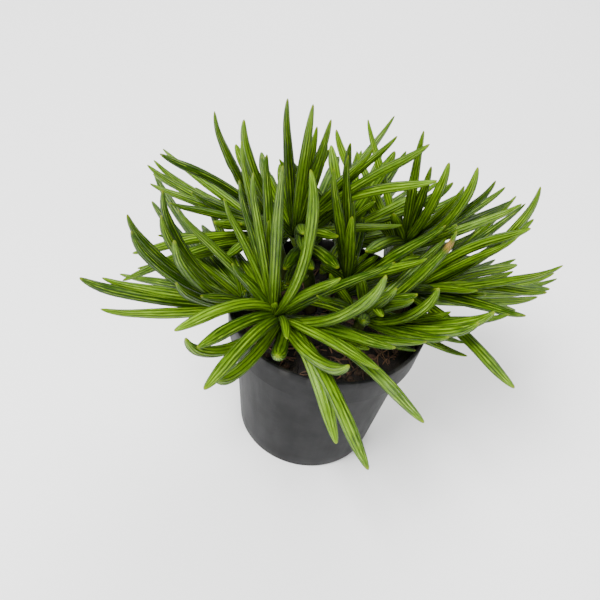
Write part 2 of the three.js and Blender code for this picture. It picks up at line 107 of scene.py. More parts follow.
STEMS = [
    StemPlan(
        "stem_front", (-9, -9), (-14, -17, 57),
        near=[
            SeenLeaf(335, 443, 40.5, -75, 1.85), SeenLeaf(367, 472, 49, -35, 1.75, -0.3),
            SeenLeaf(422, 425, 50, -50, 1.6), SeenLeaf(175, 333, 38, -80, 1.5),
            SeenLeaf(197, 350, 34, -50, 1.6), SeenLeaf(204, 392, 42, -45, 1.6),
            SeenLeaf(183, 341, 38, 80, 1.5), SeenLeaf(215, 383, 34, 60, 1.65),
            SeenLeaf(350, 369, 36, 60, 1.6), SeenLeaf(379, 372, 38, -12, 1.4),
            SeenLeaf(396, 351, 38, -14, 1.75, -0.1), SeenLeaf(428, 345, 44, 15, 1.5),
            SeenLeaf(342, 281, 30, -20), SeenLeaf(389, 280, 40, 35, 1.7, -0.3),
            SeenLeaf(397, 265, 44, -12, 1.3), SeenLeaf(287, 340, 18, -40, 1.1),
            SeenLeaf(277, 358, 20, 45, 2, -0.25), SeenLeaf(260, 270, 17, -8, 1.2),
            SeenLeaf(230, 265, 26, -10, 1.5), SeenLeaf(266, 220, 34, -6),
            SeenLeaf(220, 200, 42, -12), SeenLeaf(174, 212, 46, -10), SeenLeaf(235, 182, 46, -8),
            SeenLeaf(249, 176, 46, -5), SeenLeaf(264, 153, 50, -4, 1.45),
            SeenLeaf(281, 171, 46, -5), SeenLeaf(236, 142, 53, -8),
            SeenLeaf(314, 171, 44, 40, 1.4),
        ],
        far=[],
        hidden=5, headings=(20, 160),
    ),
    StemPlan(
        "stem_left", (-17, -5), (-22, -12, 54),
        near=[
            SeenLeaf(77, 281, 47, 22, 1.5), SeenLeaf(99, 312, 42, 12, 1.4),
            SeenLeaf(171, 243, 42, 35, 1.5), SeenLeaf(174, 285, 32, 30, 1.4),
            SeenLeaf(200, 298, 24, -20), SeenLeaf(123, 216, 48, 38), SeenLeaf(127, 233, 46, 38),
            SeenLeaf(157, 217, 44, 32), SeenLeaf(158, 191, 50, 36),
        ],
        far=[SeenLeaf(151, 203, 42, 20), SeenLeaf(153, 174, 50, 25)],
        hidden=7, headings=(100, 215),
    ),
    StemPlan(
        "stem_left_back", (-14, 9), (-21, 13, 64),
        near=[
            SeenLeaf(224, 260, 26, -45), SeenLeaf(213, 224, 24, -10, 1.5),
            SeenLeaf(168, 205, 33, -12), SeenLeaf(211, 114, 47, 14), SeenLeaf(222, 155, 31, -6),
            SeenLeaf(149, 186, 36, -12), SeenLeaf(158, 157, 42, -28), SeenLeaf(124, 283, 46, -50),
            SeenLeaf(133, 256, 42, -40),
        ],
        far=[SeenLeaf(162, 151, 38, -8), SeenLeaf(152, 162, 38, 16), SeenLeaf(195, 189, 28, -6)],
        hidden=11, headings=(60, 220),
    ),
    StemPlan(
        "stem_middle", (-5, 1), (-13, 3, 68),
        near=[
            SeenLeaf(303, 236, 25, -50, 1.4), SeenLeaf(303, 253, 27, -50, 1.45),
            SeenLeaf(284, 271, 24, -30, 1.6), SeenLeaf(338, 270, 24, -35, 1.7),
            SeenLeaf(338, 239, 27, -35, 1.35), SeenLeaf(285, 102, 46, -4),
            SeenLeaf(240, 122, 47, 22), SeenLeaf(305, 184, 26, -6, 1.4),
            SeenLeaf(312, 110, 45, -4), SeenLeaf(317, 130, 39, -5), SeenLeaf(331, 125, 42, -8),
            SeenLeaf(328, 147, 36, -8), SeenLeaf(402, 227, 34, -15, 1.3),
            SeenLeaf(400, 139, 44, -18), SeenLeaf(376, 151, 38, -12), SeenLeaf(438, 185, 46, -40),
            SeenLeaf(432, 149, 48, -22),
        ],
        far=[SeenLeaf(394, 127, 46, -6)],
        hidden=8, headings=(60, 200),
    ),
    StemPlan(
        "stem_centre", (2, -3), (3, -1, 60),
        near=[
            SeenLeaf(351, 200, 31, -6, 1.6), SeenLeaf(351, 219, 30, -6, 1.6),
            SeenLeaf(341, 216, 26, -8), SeenLeaf(331, 176, 38, -6, 1.5),
            SeenLeaf(327, 172, 40, -6), SeenLeaf(320, 266, 15, -20, 1.2),
            SeenLeaf(339, 243, 17, -10, 1.1), SeenLeaf(442, 222, 38, -15, 1.7),
            SeenLeaf(341, 158, 42, -8, 1.4),
        ],
        far=[SeenLeaf(476, 234, 42, 8)],
        hidden=8, headings=(-30, 130),
    ),
    StemPlan(
        "stem_back", (0, 13), (0, 13, 66),
        near=[
            SeenLeaf(277, 161, 34, -8), SeenLeaf(285, 157, 35, -5), SeenLeaf(286, 175, 30, -8),
            SeenLeaf(349, 145, 32, -4), SeenLeaf(459, 184, 42, 36),
        ],
        far=[
            SeenLeaf(357, 153, 28, -6), SeenLeaf(361, 152, 32, -6), SeenLeaf(411, 189, 30, -8),
            SeenLeaf(462, 195, 42, 22),
        ],
        hidden=14, headings=(20, 170),
    ),
    StemPlan(
        "stem_right_front", (8, -8), (9, -9, 55.5),
        near=[
            SeenLeaf(328, 275, 30, -12), SeenLeaf(361, 277, 22, -8), SeenLeaf(315, 298, 30, -15),
            SeenLeaf(460, 234, 42, 16, 1.65, scarred=True), SeenLeaf(396, 292, 28, -10, 1.7),
            SeenLeaf(418, 297, 26, -25, 1.4), SeenLeaf(414, 303, 26, -15, 1.7),
            SeenLeaf(441, 290, 30, 50, 1.5), SeenLeaf(382, 318, 19, -60, 1.4),
            SeenLeaf(363, 323, 26, -10, 1.5), SeenLeaf(452, 314, 28, 12),
            SeenLeaf(497, 315, 42, 35, 1.75), SeenLeaf(481, 326, 38, 28, 1.8),
            SeenLeaf(450, 340, 32, 18, 1.7),
        ],
        far=[],
        hidden=4, headings=(-40, 60),
    ),
    StemPlan(
        "stem_right", (18, 4), (22, 5, 56),
        near=[
            SeenLeaf(513, 391, 46, -30, 1.6), SeenLeaf(565, 270, 45, 8),
            SeenLeaf(556, 276, 43, 18), SeenLeaf(547, 296, 41, -25, 1.4),
            SeenLeaf(478, 293, 29, -12), SeenLeaf(526, 319, 38, -12, 1.6),
            SeenLeaf(520, 240, 40, -6), SeenLeaf(532, 232, 42, -35, 1.4),
            SeenLeaf(545, 189, 50, 38),
        ],
        far=[
            SeenLeaf(557, 281, 43, 18), SeenLeaf(537, 299, 40, 20), SeenLeaf(515, 261, 36, -5),
            SeenLeaf(534, 221, 44, 24, 1.4), SeenLeaf(525, 206, 44, -6), SeenLeaf(516, 198, 44, 6),
        ],
        hidden=12, headings=(0, 120),
    ),
    StemPlan(
        "stem_back_right", (12, 14), (17, 15, 62),
        near=[
            SeenLeaf(365, 254, 24, -25, 1.6), SeenLeaf(366, 120, 47, -6),
            SeenLeaf(422, 134, 43, -4), SeenLeaf(431, 169, 33, -5), SeenLeaf(450, 165, 38, 25),
            SeenLeaf(480, 170, 44, 42, 1.4), SeenLeaf(498, 184, 42, 16),
        ],
        far=[SeenLeaf(334, 130, 38, 24)],
        hidden=13, headings=(-10, 130),
    ),
]


@dataclass(frozen=True)
class PotSizes:
    """The nursery pot's sizes, in mm."""

    height: float = 48
    rim_radius: float = 27.5
    wall: float = 1.1
    collar_height: float = 9
    collar_foot_radius: float = 26.7
    shoulder_drop: float = 1.2
    shoulder_radius: float = 24.6
    base_radius: float = 20
    floor: float = 1.4
    corner_rounding: float = 0.8
    lip_rounding: float = 0.4
    hole_radius: float = 2.6
    hole_ring: float = 12
    hole_count: int = 5

    def inner_profile(self, gap: float) -> list[tuple[float, float]]:
        """The inner wall, or a line at a distance inside it.

        Args:
            gap: the distance from the wall.

        Returns:
            (radius, height) pairs from the floor up.
        """
        inset = self.wall + gap
        ledge = self.height - self.collar_height + self.wall + gap
        return [
            (self.base_radius - inset, self.floor + gap),
            (self.shoulder_radius - inset, ledge - self.shoulder_drop),
            (self.collar_foot_radius - inset, ledge),
        ]


@dataclass(frozen=True)
class SoilSizes:
    """The soil's sizes, in mm."""

    top: float = 43.4
    mound: float = 1
    seat_gap: float = 0.3
    edge_gap: float = 0.9
    stem_foot_radius: float = 1.9
    stem_top_radius: float = 1.3
    stem_seat_depth: float = 7


@dataclass(frozen=True)
class View:
    """The reference view: its eye looks along +Y and down on the plant."""

    look_down: float = 44.5
    roll: float = 10.8
    distance: float = 220
    focal_pixels: float = 812
    frame_pixels: float = 600
    target_column: float = 329
    target_row: float = 305

    def axes(self) -> tuple[np.ndarray, np.ndarray, np.ndarray]:
        """The view's right, upward and forward directions.

        Returns:
            Three directions, each of length 1.
        """
        down, roll = math.radians(self.look_down), math.radians(self.roll)
        forward = np.array([0.0, math.cos(down), -math.sin(down)])
        level = np.array([1.0, 0.0, 0.0])
        above = np.cross(level, forward)
        right = level * math.cos(roll) + above * math.sin(roll)
        top = above * math.cos(roll) - level * math.sin(roll)
        return right, top, forward

    def toward(self, column: float, row: float) -> np.ndarray:
        """The direction of a place in the picture, from the eye.

        Args:
            column: how far the place lies from the left edge, in pixels.
            row: how far it lies from the top edge.

        Returns:
            The direction, which reaches 1 forward.
        """
        right, top, forward = self.axes()
        middle = self.frame_pixels / 2
        across = (column - middle) / self.focal_pixels
        up = (row - middle) / self.focal_pixels
        return forward + right * across + top * -up

    def eye(self, height: float) -> np.ndarray:
        """The eye's place: its target lies on the pot's axis at the given height."""
        target = np.array([0.0, 0.0, height])
        return target + self.toward(self.target_column, self.target_row) * -self.distance


@dataclass(frozen=True)
class Leaf:
    """A leaf: an arc in an upright plane. Angles in radians, lengths in mm."""

    root: np.ndarray
    heading: float
    rise: float
    bend: float
    length: float
    radius: float
    scarred: bool = False

    def points(self, parts: np.ndarray) -> np.ndarray:
        """Points on the leaf's middle line.

        Args:
            parts: places from the root (0) to the tip (1).

        Returns:
            One row of x, y, z for each place.
        """
        slope = self.rise + self.bend * parts
        run = self.length * (np.sin(slope) - math.sin(self.rise)) / self.bend
        climb = self.length * (math.cos(self.rise) - np.cos(slope)) / self.bend
        return np.stack([
            self.root[0] + run * math.cos(self.heading),
            self.root[1] + run * math.sin(self.heading),
            self.root[2] + climb,
        ], axis=1)


@dataclass(frozen=True)
class LeafForm:
    """How a leaf's half width runs from its root to its tip."""

    base_width: float = 0.6
    full_width_at: float = 0.3
    taper_part: float = 0.4
    blunt_taper_part: float = 0.2
    taper_power: float = 0.45
    blunt_bend: float = 20
    blunt_length: float = 26
    flatness: float = 0.86

    def is_blunt(self, leaf: Leaf) -> bool:
        """True for a bent or short leaf, which keeps its width nearly to its tip."""
        return abs(leaf.bend) >= math.radians(self.blunt_bend) or leaf.length < self.blunt_length

    def half_width(self, leaf: Leaf, parts: np.ndarray) -> np.ndarray:
        """How a leaf's half width runs.

        Args:
            leaf: the leaf.
            parts: places from the root (0) to the tip (1).

        Returns:
            The half width at each place, in mm.
        """
        swell = np.minimum(1, parts / self.full_width_at)
        base = self.base_width + (1 - self.base_width) * swell * swell * (3 - 2 * swell)
        taper_part = self.blunt_taper_part if self.is_blunt(leaf) else self.taper_part
        return leaf.radius * base * np.minimum(1, (1 - parts) / taper_part) ** self.taper_power


@dataclass
class Body:
    """The straight links that stand for a leaf or a stem in the clearance rule."""

    starts: np.ndarray
    runs: np.ndarray
    radii: np.ndarray
    parts: np.ndarray
    middle: np.ndarray
    reach: float

    @staticmethod
    def along(points: np.ndarray, radii: np.ndarray) -> "Body":
        """Links from point to point, each as thick as its thicker end.

        Args:
            points: one row of x, y, z for each end of a link.
            radii: the half width at each point.

        Returns:
            The body.
        """
        count = len(points) - 1
        middle = points[count // 2]
        ends = np.linalg.norm(points[[0, -1]] - middle, axis=1)
        thick = np.maximum(radii[:-1], radii[1:])
        parts = (np.arange(count) + 0.5) / count
        return Body(points[:-1], points[1:] - points[:-1], thick, parts, middle,
                    float(ends.max() + thick[0]))


@dataclass
class Garden:
    """All that is placed already, as links, and the test of a new leaf against it."""

    link_count: int = 6
    node_gap: float = 0.5
    same_stem_share: float = 0.7
    free_root_part: float = 0.45
    bodies: list[Body] = field(default_factory=list)
    owners: list[int] = field(default_factory=list)
    stems: list[bool] = field(default_factory=list)

    def add(self, body: Body, owner: int, is_stem: bool = False) -> None:
        """Keeps a placed body with the number of its stem.

        Args:
            body: the links of a leaf or of a stem.
            owner: the number of its stem.
            is_stem: True for the stem itself.
        """
        self.bodies.append(body)
        self.owners.append(owner)
        self.stems.append(is_stem)

    def clear(self, body: Body, owner: int) -> bool:
        """True where a body clears every placed one.

        Args:
            body: the new leaf's links.
            owner: the number of its stem.

        Returns:
            Whether it touches nothing, apart from its own stem's roots.
        """
        middles = np.array([other.middle for other in self.bodies])
        reaches = np.array([other.reach for other in self.bodies])
        same = np.array(self.owners) == owner
        far = np.linalg.norm(middles - body.middle, axis=1) > body.reach + reaches + self.node_gap
        for i in np.flatnonzero(~far & ~(same & np.array(self.stems))):
            if self.touches(body, self.bodies[i], bool(same[i])):
                return False
        return True

    def touches(self, body: Body, other: Body, same: bool) -> bool:
        """Tells whether two bodies come nearer than the rule allows.

        Args:
            body: the new leaf's links.
            other: the links of a placed leaf or stem.
            same: True where both grow on one stem, where they may cross near their roots.

        Returns:
            Whether they come too near.
        """
        first, second = body, other
        if same:
            free = self.free_root_part
            first, second = self.beyond(body, free), self.beyond(other, free)
        touching = first.radii[:, None] + second.radii[None, :]
        apart = touching * self.same_stem_share if same else touching + self.node_gap
        return bool((squared_gaps(first, second) < apart * apart).any())

    @staticmethod
    def beyond(body: Body, part: float) -> Body:
        """The links of a body that lie beyond a part of its length.

        Args:
            body: the body.
            part: where its kept part begins.

        Returns:
            A body of the kept links.
        """
        kept = body.parts >= part
        return Body(body.starts[kept], body.runs[kept], body.radii[kept], body.parts[kept],
                    body.middle, body.reach)


def squared_gaps(first: Body, second: Body) -> np.ndarray:
    """The squared distance between each link of one body and each link of another.

    Args:
        first: the body whose links run down the rows.
        second: the body whose links run across the columns.

    Returns:
        The squared distances, in square mm.
    """
    run_a, run_b = first.runs[:, None, :], second.runs[None, :, :]
    between = first.starts[:, None, :] - second.starts[None, :, :]
    square_a = (run_a * run_a).sum(-1)
    square_b = (run_b * run_b).sum(-1)
    offset_a = (run_a * between).sum(-1)
    offset_b = (run_b * between).sum(-1)
    shared = (run_a * run_b).sum(-1)
    spread = square_a * square_b - shared * shared
    level = spread == 0
    share_a = np.clip((shared * offset_b - offset_a * square_b) / np.where(level, 1, spread), 0, 1)
    share_a = np.where(level, 0, share_a)
    share_b = (shared * share_a + offset_b) / square_b
    from_start = np.clip(-offset_a / square_a, 0, 1)
    from_end = np.clip((shared - offset_a) / square_a, 0, 1)
    share_a = np.where(share_b < 0, from_start, np.where(share_b > 1, from_end, share_a))
    share_b = np.clip(share_b, 0, 1)
    gap = between + run_a * share_a[..., None] - run_b * share_b[..., None]
    return (gap * gap).sum(-1)


class Draw:
    """A seeded draw between 0 and 1."""

    FACTOR = 1664525
    STEP = 1013904223
    COUNT = 4294967296

    def __init__(self, seed: int) -> None:
        """Starts the draw from a seed."""
        self.state = seed

    def share(self) -> float:
        """The next number from 0 to 1."""
        self.state = (self.state * self.FACTOR + self.STEP) % self.COUNT
        return self.state / self.COUNT

    def between(self, low: float, high: float) -> float:
        """The next number between two limits."""
        return low + (high - low) * self.share()


def mix(limits: tuple[float, float], share: float) -> float:
    """The value at a share of the way between two limits."""
    return limits[0] + (limits[1] - limits[0]) * share


@dataclass
class PlantLayout:
    """Places every leaf: each takes the first try that clears all that stands already."""

    pot: PotSizes = field(default_factory=PotSizes)
    soil: SoilSizes = field(default_factory=SoilSizes)
    view: View = field(default_factory=View)
    form: LeafForm = field(default_factory=LeafForm)
    garden: Garden = field(default_factory=Garden)
    hidden_radius: float = 1.45
    level_root: float = 0.66
    steep_root: float = 0.34
    lowest_root: float = 0.35
    pot_gap: float = 0.5
    seed: int = 11
    length_scales: tuple[float, ...] = (1, 1.06, 0.94, 1.12, 0.88, 1.2, 0.82, 1.3, 0.75)
    root_lifts: tuple[float, ...] = (0, 0.12, -0.12, 0.24, -0.24)
    tip_shifts: tuple[float, ...] = (0, 4, 8, 13)
    tip_turns: int = 8
    root_passes: int = 3
    young_count: int = 4
    young_length: tuple[float, float] = (7, 12)
    young_rise: tuple[float, float] = (62, 80)
    young_radius: float = 0.95
    young_bend: float = -10
    hidden_length: tuple[float, float] = (32, 41)
    hidden_rise: tuple[float, float] = (-12, 28)
    hidden_bend: tuple[float, float] = (-30, 14)
    inner_count: int = 10
    inner_front: float = -22
    inner_length: tuple[float, float] = (17, 30)
    inner_rise: tuple[float, float] = (5, 60)
    heading_turns: tuple[float, ...] = (0, 7, -7, 14, -14, 21, -21)
    rise_lifts: tuple[float, ...] = (0, 7, -7)

    def __post_init__(self) -> None:
        """Works out what all tries share."""
        self.parts = np.arange(2 * self.garden.link_count + 1) / (2 * self.garden.link_count)
        self.eye = self.view.eye(self.pot.height)
        self.leaves: dict[str, list[Leaf]] = {stem.name: [] for stem in STEMS}

    def stem_points(self, stem: StemPlan, parts: np.ndarray) -> np.ndarray:
        """Points on a stem's middle line.

        Args:
            stem: the stem.
            parts: places from its foot (0) to its crown (1).

        Returns:
            One row of x, y, z for each place.
        """
        foot = np.array([*stem.foot, self.soil.top])
        crown = np.array(stem.crown, float)
        knee = np.array([*stem.foot, (foot[2] + crown[2]) / 2])
        t = np.atleast_1d(parts)[:, None]
        return (1 - t) ** 2 * foot + 2 * (1 - t) * t * knee + t * t * crown

    def stem_radius(self, parts: np.ndarray) -> np.ndarray:
        """A stem's half width at each place."""
        foot, top = self.soil.stem_foot_radius, self.soil.stem_top_radius
        return foot + (top - foot) * np.maximum(0, parts)

    def root_of(self, stem: StemPlan, rise: float, lifted: float) -> np.ndarray:
        """Where a leaf grows on its stem: steeper leaves grow higher."""
        part = self.level_root + self.steep_root * math.sin(rise) + lifted
        return self.stem_points(stem, np.array([min(1.0, max(self.lowest_root, part))]))[0]

    def clears_pot(self, points: np.ndarray, radii: np.ndarray) -> bool:
        """Tells whether a leaf stays above the rim, outside the pot or over the soil.

        Args:
            points: points on the leaf's middle line.
            radii: its half width at each of them.

        Returns:
            Whether it does at every point.
        """
        pot, gap = self.pot, self.pot_gap
        reach = np.hypot(points[:, 0], points[:, 1])
        low = points[:, 2] - radii
        above = low > pot.height + gap
        outside = (reach - radii > pot.rim_radius + gap) & (low > gap)
        within = reach + radii < pot.rim_radius - pot.wall - gap
        over_soil = within & (low > self.soil.top + self.soil.mound)
        return bool((above | outside | over_soil).all())

    def seen_leaf(self, stem: StemPlan, seen: SeenLeaf, side: LeafSide,
                  place: tuple[float, float], scale: float, lifted: float) -> Leaf:
        """A leaf whose tip lies on a line of sight.

        Args:
            stem: the stem that it grows on.
            seen: the leaf as it was read.
            side: where its tip lies from its root.
            place: the column and row of its tip in this try.
            scale: its length in this try, as a share of the length that was read.
            lifted: how far its root is moved up the stem in this try.

        Returns:
            The leaf.
        """
        length, bend = seen.length * scale, math.radians(seen.bend)
        direction = self.view.toward(*place)
        direction = direction / np.linalg.norm(direction)
        chord_length = length * math.sin(bend / 2) / (bend / 2)
        rise = 0.0
        for _ in range(self.root_passes):
            root = self.root_of(stem, rise, seen.raised + lifted)
            nearest = self.eye + direction * float(np.dot(root - self.eye, direction))
            aside = float(np.linalg.norm(nearest - root))
            depth = math.sqrt(max(0.0, chord_length ** 2 - aside ** 2))
            chord = nearest + direction * (side.value * depth) - root
            rise = math.atan2(chord[2], math.hypot(chord[0], chord[1]))
        reached = float(np.linalg.norm(chord))
        return Leaf(root, math.atan2(chord[1], chord[0]), rise - bend / 2, bend,
                    length * reached / chord_length, seen.half_width, seen.scarred)

    def seen_tries(self, stem: StemPlan, seen: SeenLeaf, side: LeafSide) -> Iterator[Leaf]:
        """The changes tried on a seen leaf: its length, its root's height, its tip's place.

        Args:
            stem: the stem that it grows on.
            seen: the leaf as it was read.
            side: where its tip lies from its root.

        Returns:
            The tries, with the unchanged leaf first.
        """
        for shift in self.tip_shifts:
            for turn in range(self.tip_turns if shift else 1):
                angle = 2 * math.pi * turn / self.tip_turns
                place = (seen.column + shift * math.cos(angle),
                         seen.row + shift * math.sin(angle))
                for lifted in self.root_lifts:
                    for scale in self.length_scales:
                        yield self.seen_leaf(stem, seen, side, place, scale, lifted)

    def ruled_tries(self, stem: StemPlan, heading: float, rise: float, bend: float,
                    length: float, radius: float) -> Iterator[Leaf]:
        """The changes tried on a leaf that a rule places: its heading, then its rise.

        Args:
            stem: the stem that it grows on.
            heading: the way it points, in radians.
            rise: its slope at the root, in radians.
            bend: its bend, in radians.
            length: its length, in mm.
            radius: its half width, in mm.

        Returns:
            The tries, with the unchanged leaf first.
        """
        for lift in self.rise_lifts:
            for turn in self.heading_turns:
                lifted = rise + math.radians(lift)
                yield Leaf(self.root_of(stem, lifted, 0), heading + math.radians(turn), lifted,
                           bend, length, radius)

    def place_first_clear(self, index: int, tries: Iterator[Leaf]) -> None:
        """Places the first try that clears the pot and all that is placed already.

        Args:
            index: the number of its stem.
            tries: the leaf's tries. Where none is clear, it is left out.
        """
        for leaf in tries:
            points = leaf.points(self.parts)
            radii = self.form.half_width(leaf, self.parts)
            if not self.clears_pot(points, radii):
                continue
            body = Body.along(points[::2], radii[::2])
            if self.garden.clear(body, index):
                self.garden.add(body, index)
                self.leaves[STEMS[index].name].append(leaf)
                return

    def place_young(self, index: int) -> None:
        """Places the young leaves round a stem's growing tip.

        Args:
            index: the number of the stem.
        """
        for i in range(self.young_count):
            share = i / (self.young_count - 1)
            self.place_first_clear(index, self.ruled_tries(
                STEMS[index], math.radians(i * GOLDEN_ANGLE),
                math.radians(mix(self.young_rise, share)), math.radians(self.young_bend),
                mix(self.young_length, 1 - share), self.young_radius))

    def place_hidden(self, index: int, draw: Draw) -> None:
        """Places the leaves that others hide in the view.

        Args:
            index: the number of the stem.
            draw: the seeded draw that all stems share.
        """
        stem = STEMS[index]
        for i in range(stem.hidden):
            heading = mix(stem.headings, (i * GOLDEN_ANGLE / 360) % 1)
            rise = math.radians(mix(self.hidden_rise, draw.share()))
            bend = math.radians(mix(self.hidden_bend, draw.share()))
            length = mix(self.hidden_length, draw.share())
            self.place_first_clear(index, self.ruled_tries(
                stem, math.radians(heading), rise, bend, length, self.hidden_radius))

    def place_inner(self, index: int, draw: Draw) -> None:
        """Places the shorter leaves that fill the inside of the plant.

        Args:
            index: the number of the stem.
            draw: the seeded draw that all stems share.
        """
        for i in range(self.inner_count):
            rise = math.radians(mix(self.inner_rise, draw.share()))
            bend = math.radians(mix(self.hidden_bend, draw.share()))
            length = mix(self.inner_length, draw.share())
            tries = self.ruled_tries(STEMS[index], math.radians(i * GOLDEN_ANGLE), rise, bend,
                                     length, self.hidden_radius)
            self.place_first_clear(index, (leaf for leaf in tries if self.stays_inside(leaf)))

    def stays_inside(self, leaf: Leaf) -> bool:
        """True for a leaf whose tip stays behind the front of the plant."""
        return leaf.points(np.array([1.0]))[0, 1] > self.inner_front

    def lay_out(self) -> dict[str, list[Leaf]]:
        """Places all leaves: young ones, seen ones from short to long, then hidden ones.

        Returns:
            Each stem's leaves, in the order in which they were placed.
        """
        links = np.arange(self.garden.link_count + 1) / self.garden.link_count
        for index, stem in enumerate(STEMS):
            body = Body.along(self.stem_points(stem, links), self.stem_radius(links))
            self.garden.add(body, index, is_stem=True)
        for index in range(len(STEMS)):
            self.place_young(index)
        seen = [(index, leaf, side)
                for index, stem in enumerate(STEMS)
                for side, leaves in ((LeafSide.NEAR, stem.near), (LeafSide.FAR, stem.far))
                for leaf in leaves]
        for index, leaf, side in sorted(seen, key=lambda one: one[1].length):
            self.place_first_clear(index, self.seen_tries(STEMS[index], leaf, side))
        draw = Draw(self.seed)
        for index in range(len(STEMS)):
            self.place_hidden(index, draw)
        for index in range(len(STEMS)):
            self.place_inner(index, draw)
        return self.leaves


class NodeSheet:
    """A node tree with short calls to add nodes and join them."""

    MIX_SHARE = 0
    MIX_COLOURS = (6, 7)
    MIXED_COLOUR = 2

    def __init__(self, tree: bpy.types.NodeTree) -> None:
        """Takes the tree that the nodes go into."""
        self.tree = tree

    def add(self, kind: str, inputs: dict | None = None, **settings: object) -> bpy.types.Node:
        """Adds a node.

        Args:
            kind: the node's type, without its ShaderNode prefix.
            inputs: what its sockets take, by name or number: a socket or a plain value.
            settings: the node's own settings.

        Returns:
            The node.
        """
        node = self.tree.nodes.new("ShaderNode" + kind)
        for name, value in settings.items():
            setattr(node, name, value)
        for name, value in (inputs or {}).items():
            self.feed(node.inputs[name], value)
        return node

    def feed(self, socket: bpy.types.NodeSocket, value: object) -> None:
        """Links a socket or sets a plain value.

        Args:
            socket: the input that is fed.
            value: the output that is linked to it, or a plain value.
        """
        if isinstance(value, bpy.types.NodeSocket):
            self.tree.links.new(value, socket)
        else:
            socket.default_value = value

    def place(self) -> bpy.types.NodeSocket:
        """The place on the piece, in metres."""
        return self.add("TexCoord").outputs["Object"]

    def calculate(self, operation: str, *values: object) -> bpy.types.NodeSocket:
        """The result of a math node."""
        return self.add("Math", dict(enumerate(values)), operation=operation).outputs[0]

    def times(self, first: object, second: object) -> bpy.types.NodeSocket:
        """The product of two values."""
        return self.calculate("MULTIPLY", first, second)

    def scaled(self, value: object, factor: object, plus: object) -> bpy.types.NodeSocket:
        """A value times a factor, plus another value."""
        return self.calculate("MULTIPLY_ADD", value, factor, plus)

    def ramp(self, value: object, low: float, high: float, start: float = 0.0,
             end: float = 1.0) -> bpy.types.NodeSocket:
        """A smooth step of a value.

        Args:
            value: the value.
            low: where the step begins.
            high: where the step ends.
            start: the result where it begins.
            end: the result where it ends.

        Returns:
            The result.
        """
        node = self.add("MapRange", {"Value": value, "From Min": low, "From Max": high,
                                     "To Min": start, "To Max": end},
                        interpolation_type="SMOOTHSTEP")
        return node.outputs["Result"]

    def blend(self, share: object, first: object, second: object) -> bpy.types.NodeSocket:
        """A mix of two colours.

        Args:
            share: how much the second colour covers the first.
            first: the first colour.
            second: the second colour.

        Returns:
            The mixed colour.
        """
        node = self.add("Mix", data_type="RGBA", clamp_factor=True)
        self.feed(node.inputs[self.MIX_SHARE], share)
        for number, value in zip(self.MIX_COLOURS, (first, second)):
            self.feed(node.inputs[number], value)
        return node.outputs[self.MIXED_COLOUR]

    def layered(self, base: object, *layers: tuple[object, object]) -> bpy.types.NodeSocket:
        """A colour with others laid over it.

        Args:
            base: the lowest colour.
            layers: the share and the colour of each layer, from the lowest up.

        Returns:
            The mixed colour.
        """
        for share, over in layers:
            base = self.blend(share, base, over)
        return base

    def noise(self, vector: bpy.types.NodeSocket, scale: object, detail: float = 3.0,
              roughness: float = 0.55) -> bpy.types.NodeSocket:
        """A noise value.

        Args:
            vector: where it is read.
            scale: how fine it is.
            detail: how many finer layers it has.
            roughness: how strong those are.

        Returns:
            The value.
        """
        node = self.add("TexNoise", {"Vector": vector, "Scale": scale, "Detail": detail,
                                     "Roughness": roughness})
        return node.outputs["Fac"]

    def stretch(self, vector: bpy.types.NodeSocket, scale: Numbers) -> bpy.types.NodeSocket:
        """A vector scaled along its own axes."""
        return self.add("Mapping", {"Vector": vector, "Scale": scale}).outputs[0]


def colour(red: float, green: float, blue: float) -> Colour:
    """A linear colour from its screen values.

    Args:
        red: the red channel, from 0 to 255.
        green: the green channel.
        blue: the blue channel.

    Returns:
        The colour, opaque.
    """
    def linear(value: float) -> float:
        """One channel."""
        share = value / 255
        return share / 12.92 if share <= 0.04045 else ((share + 0.055) / 1.055) ** 2.4
    return (linear(red), linear(green), linear(blue), 1.0)


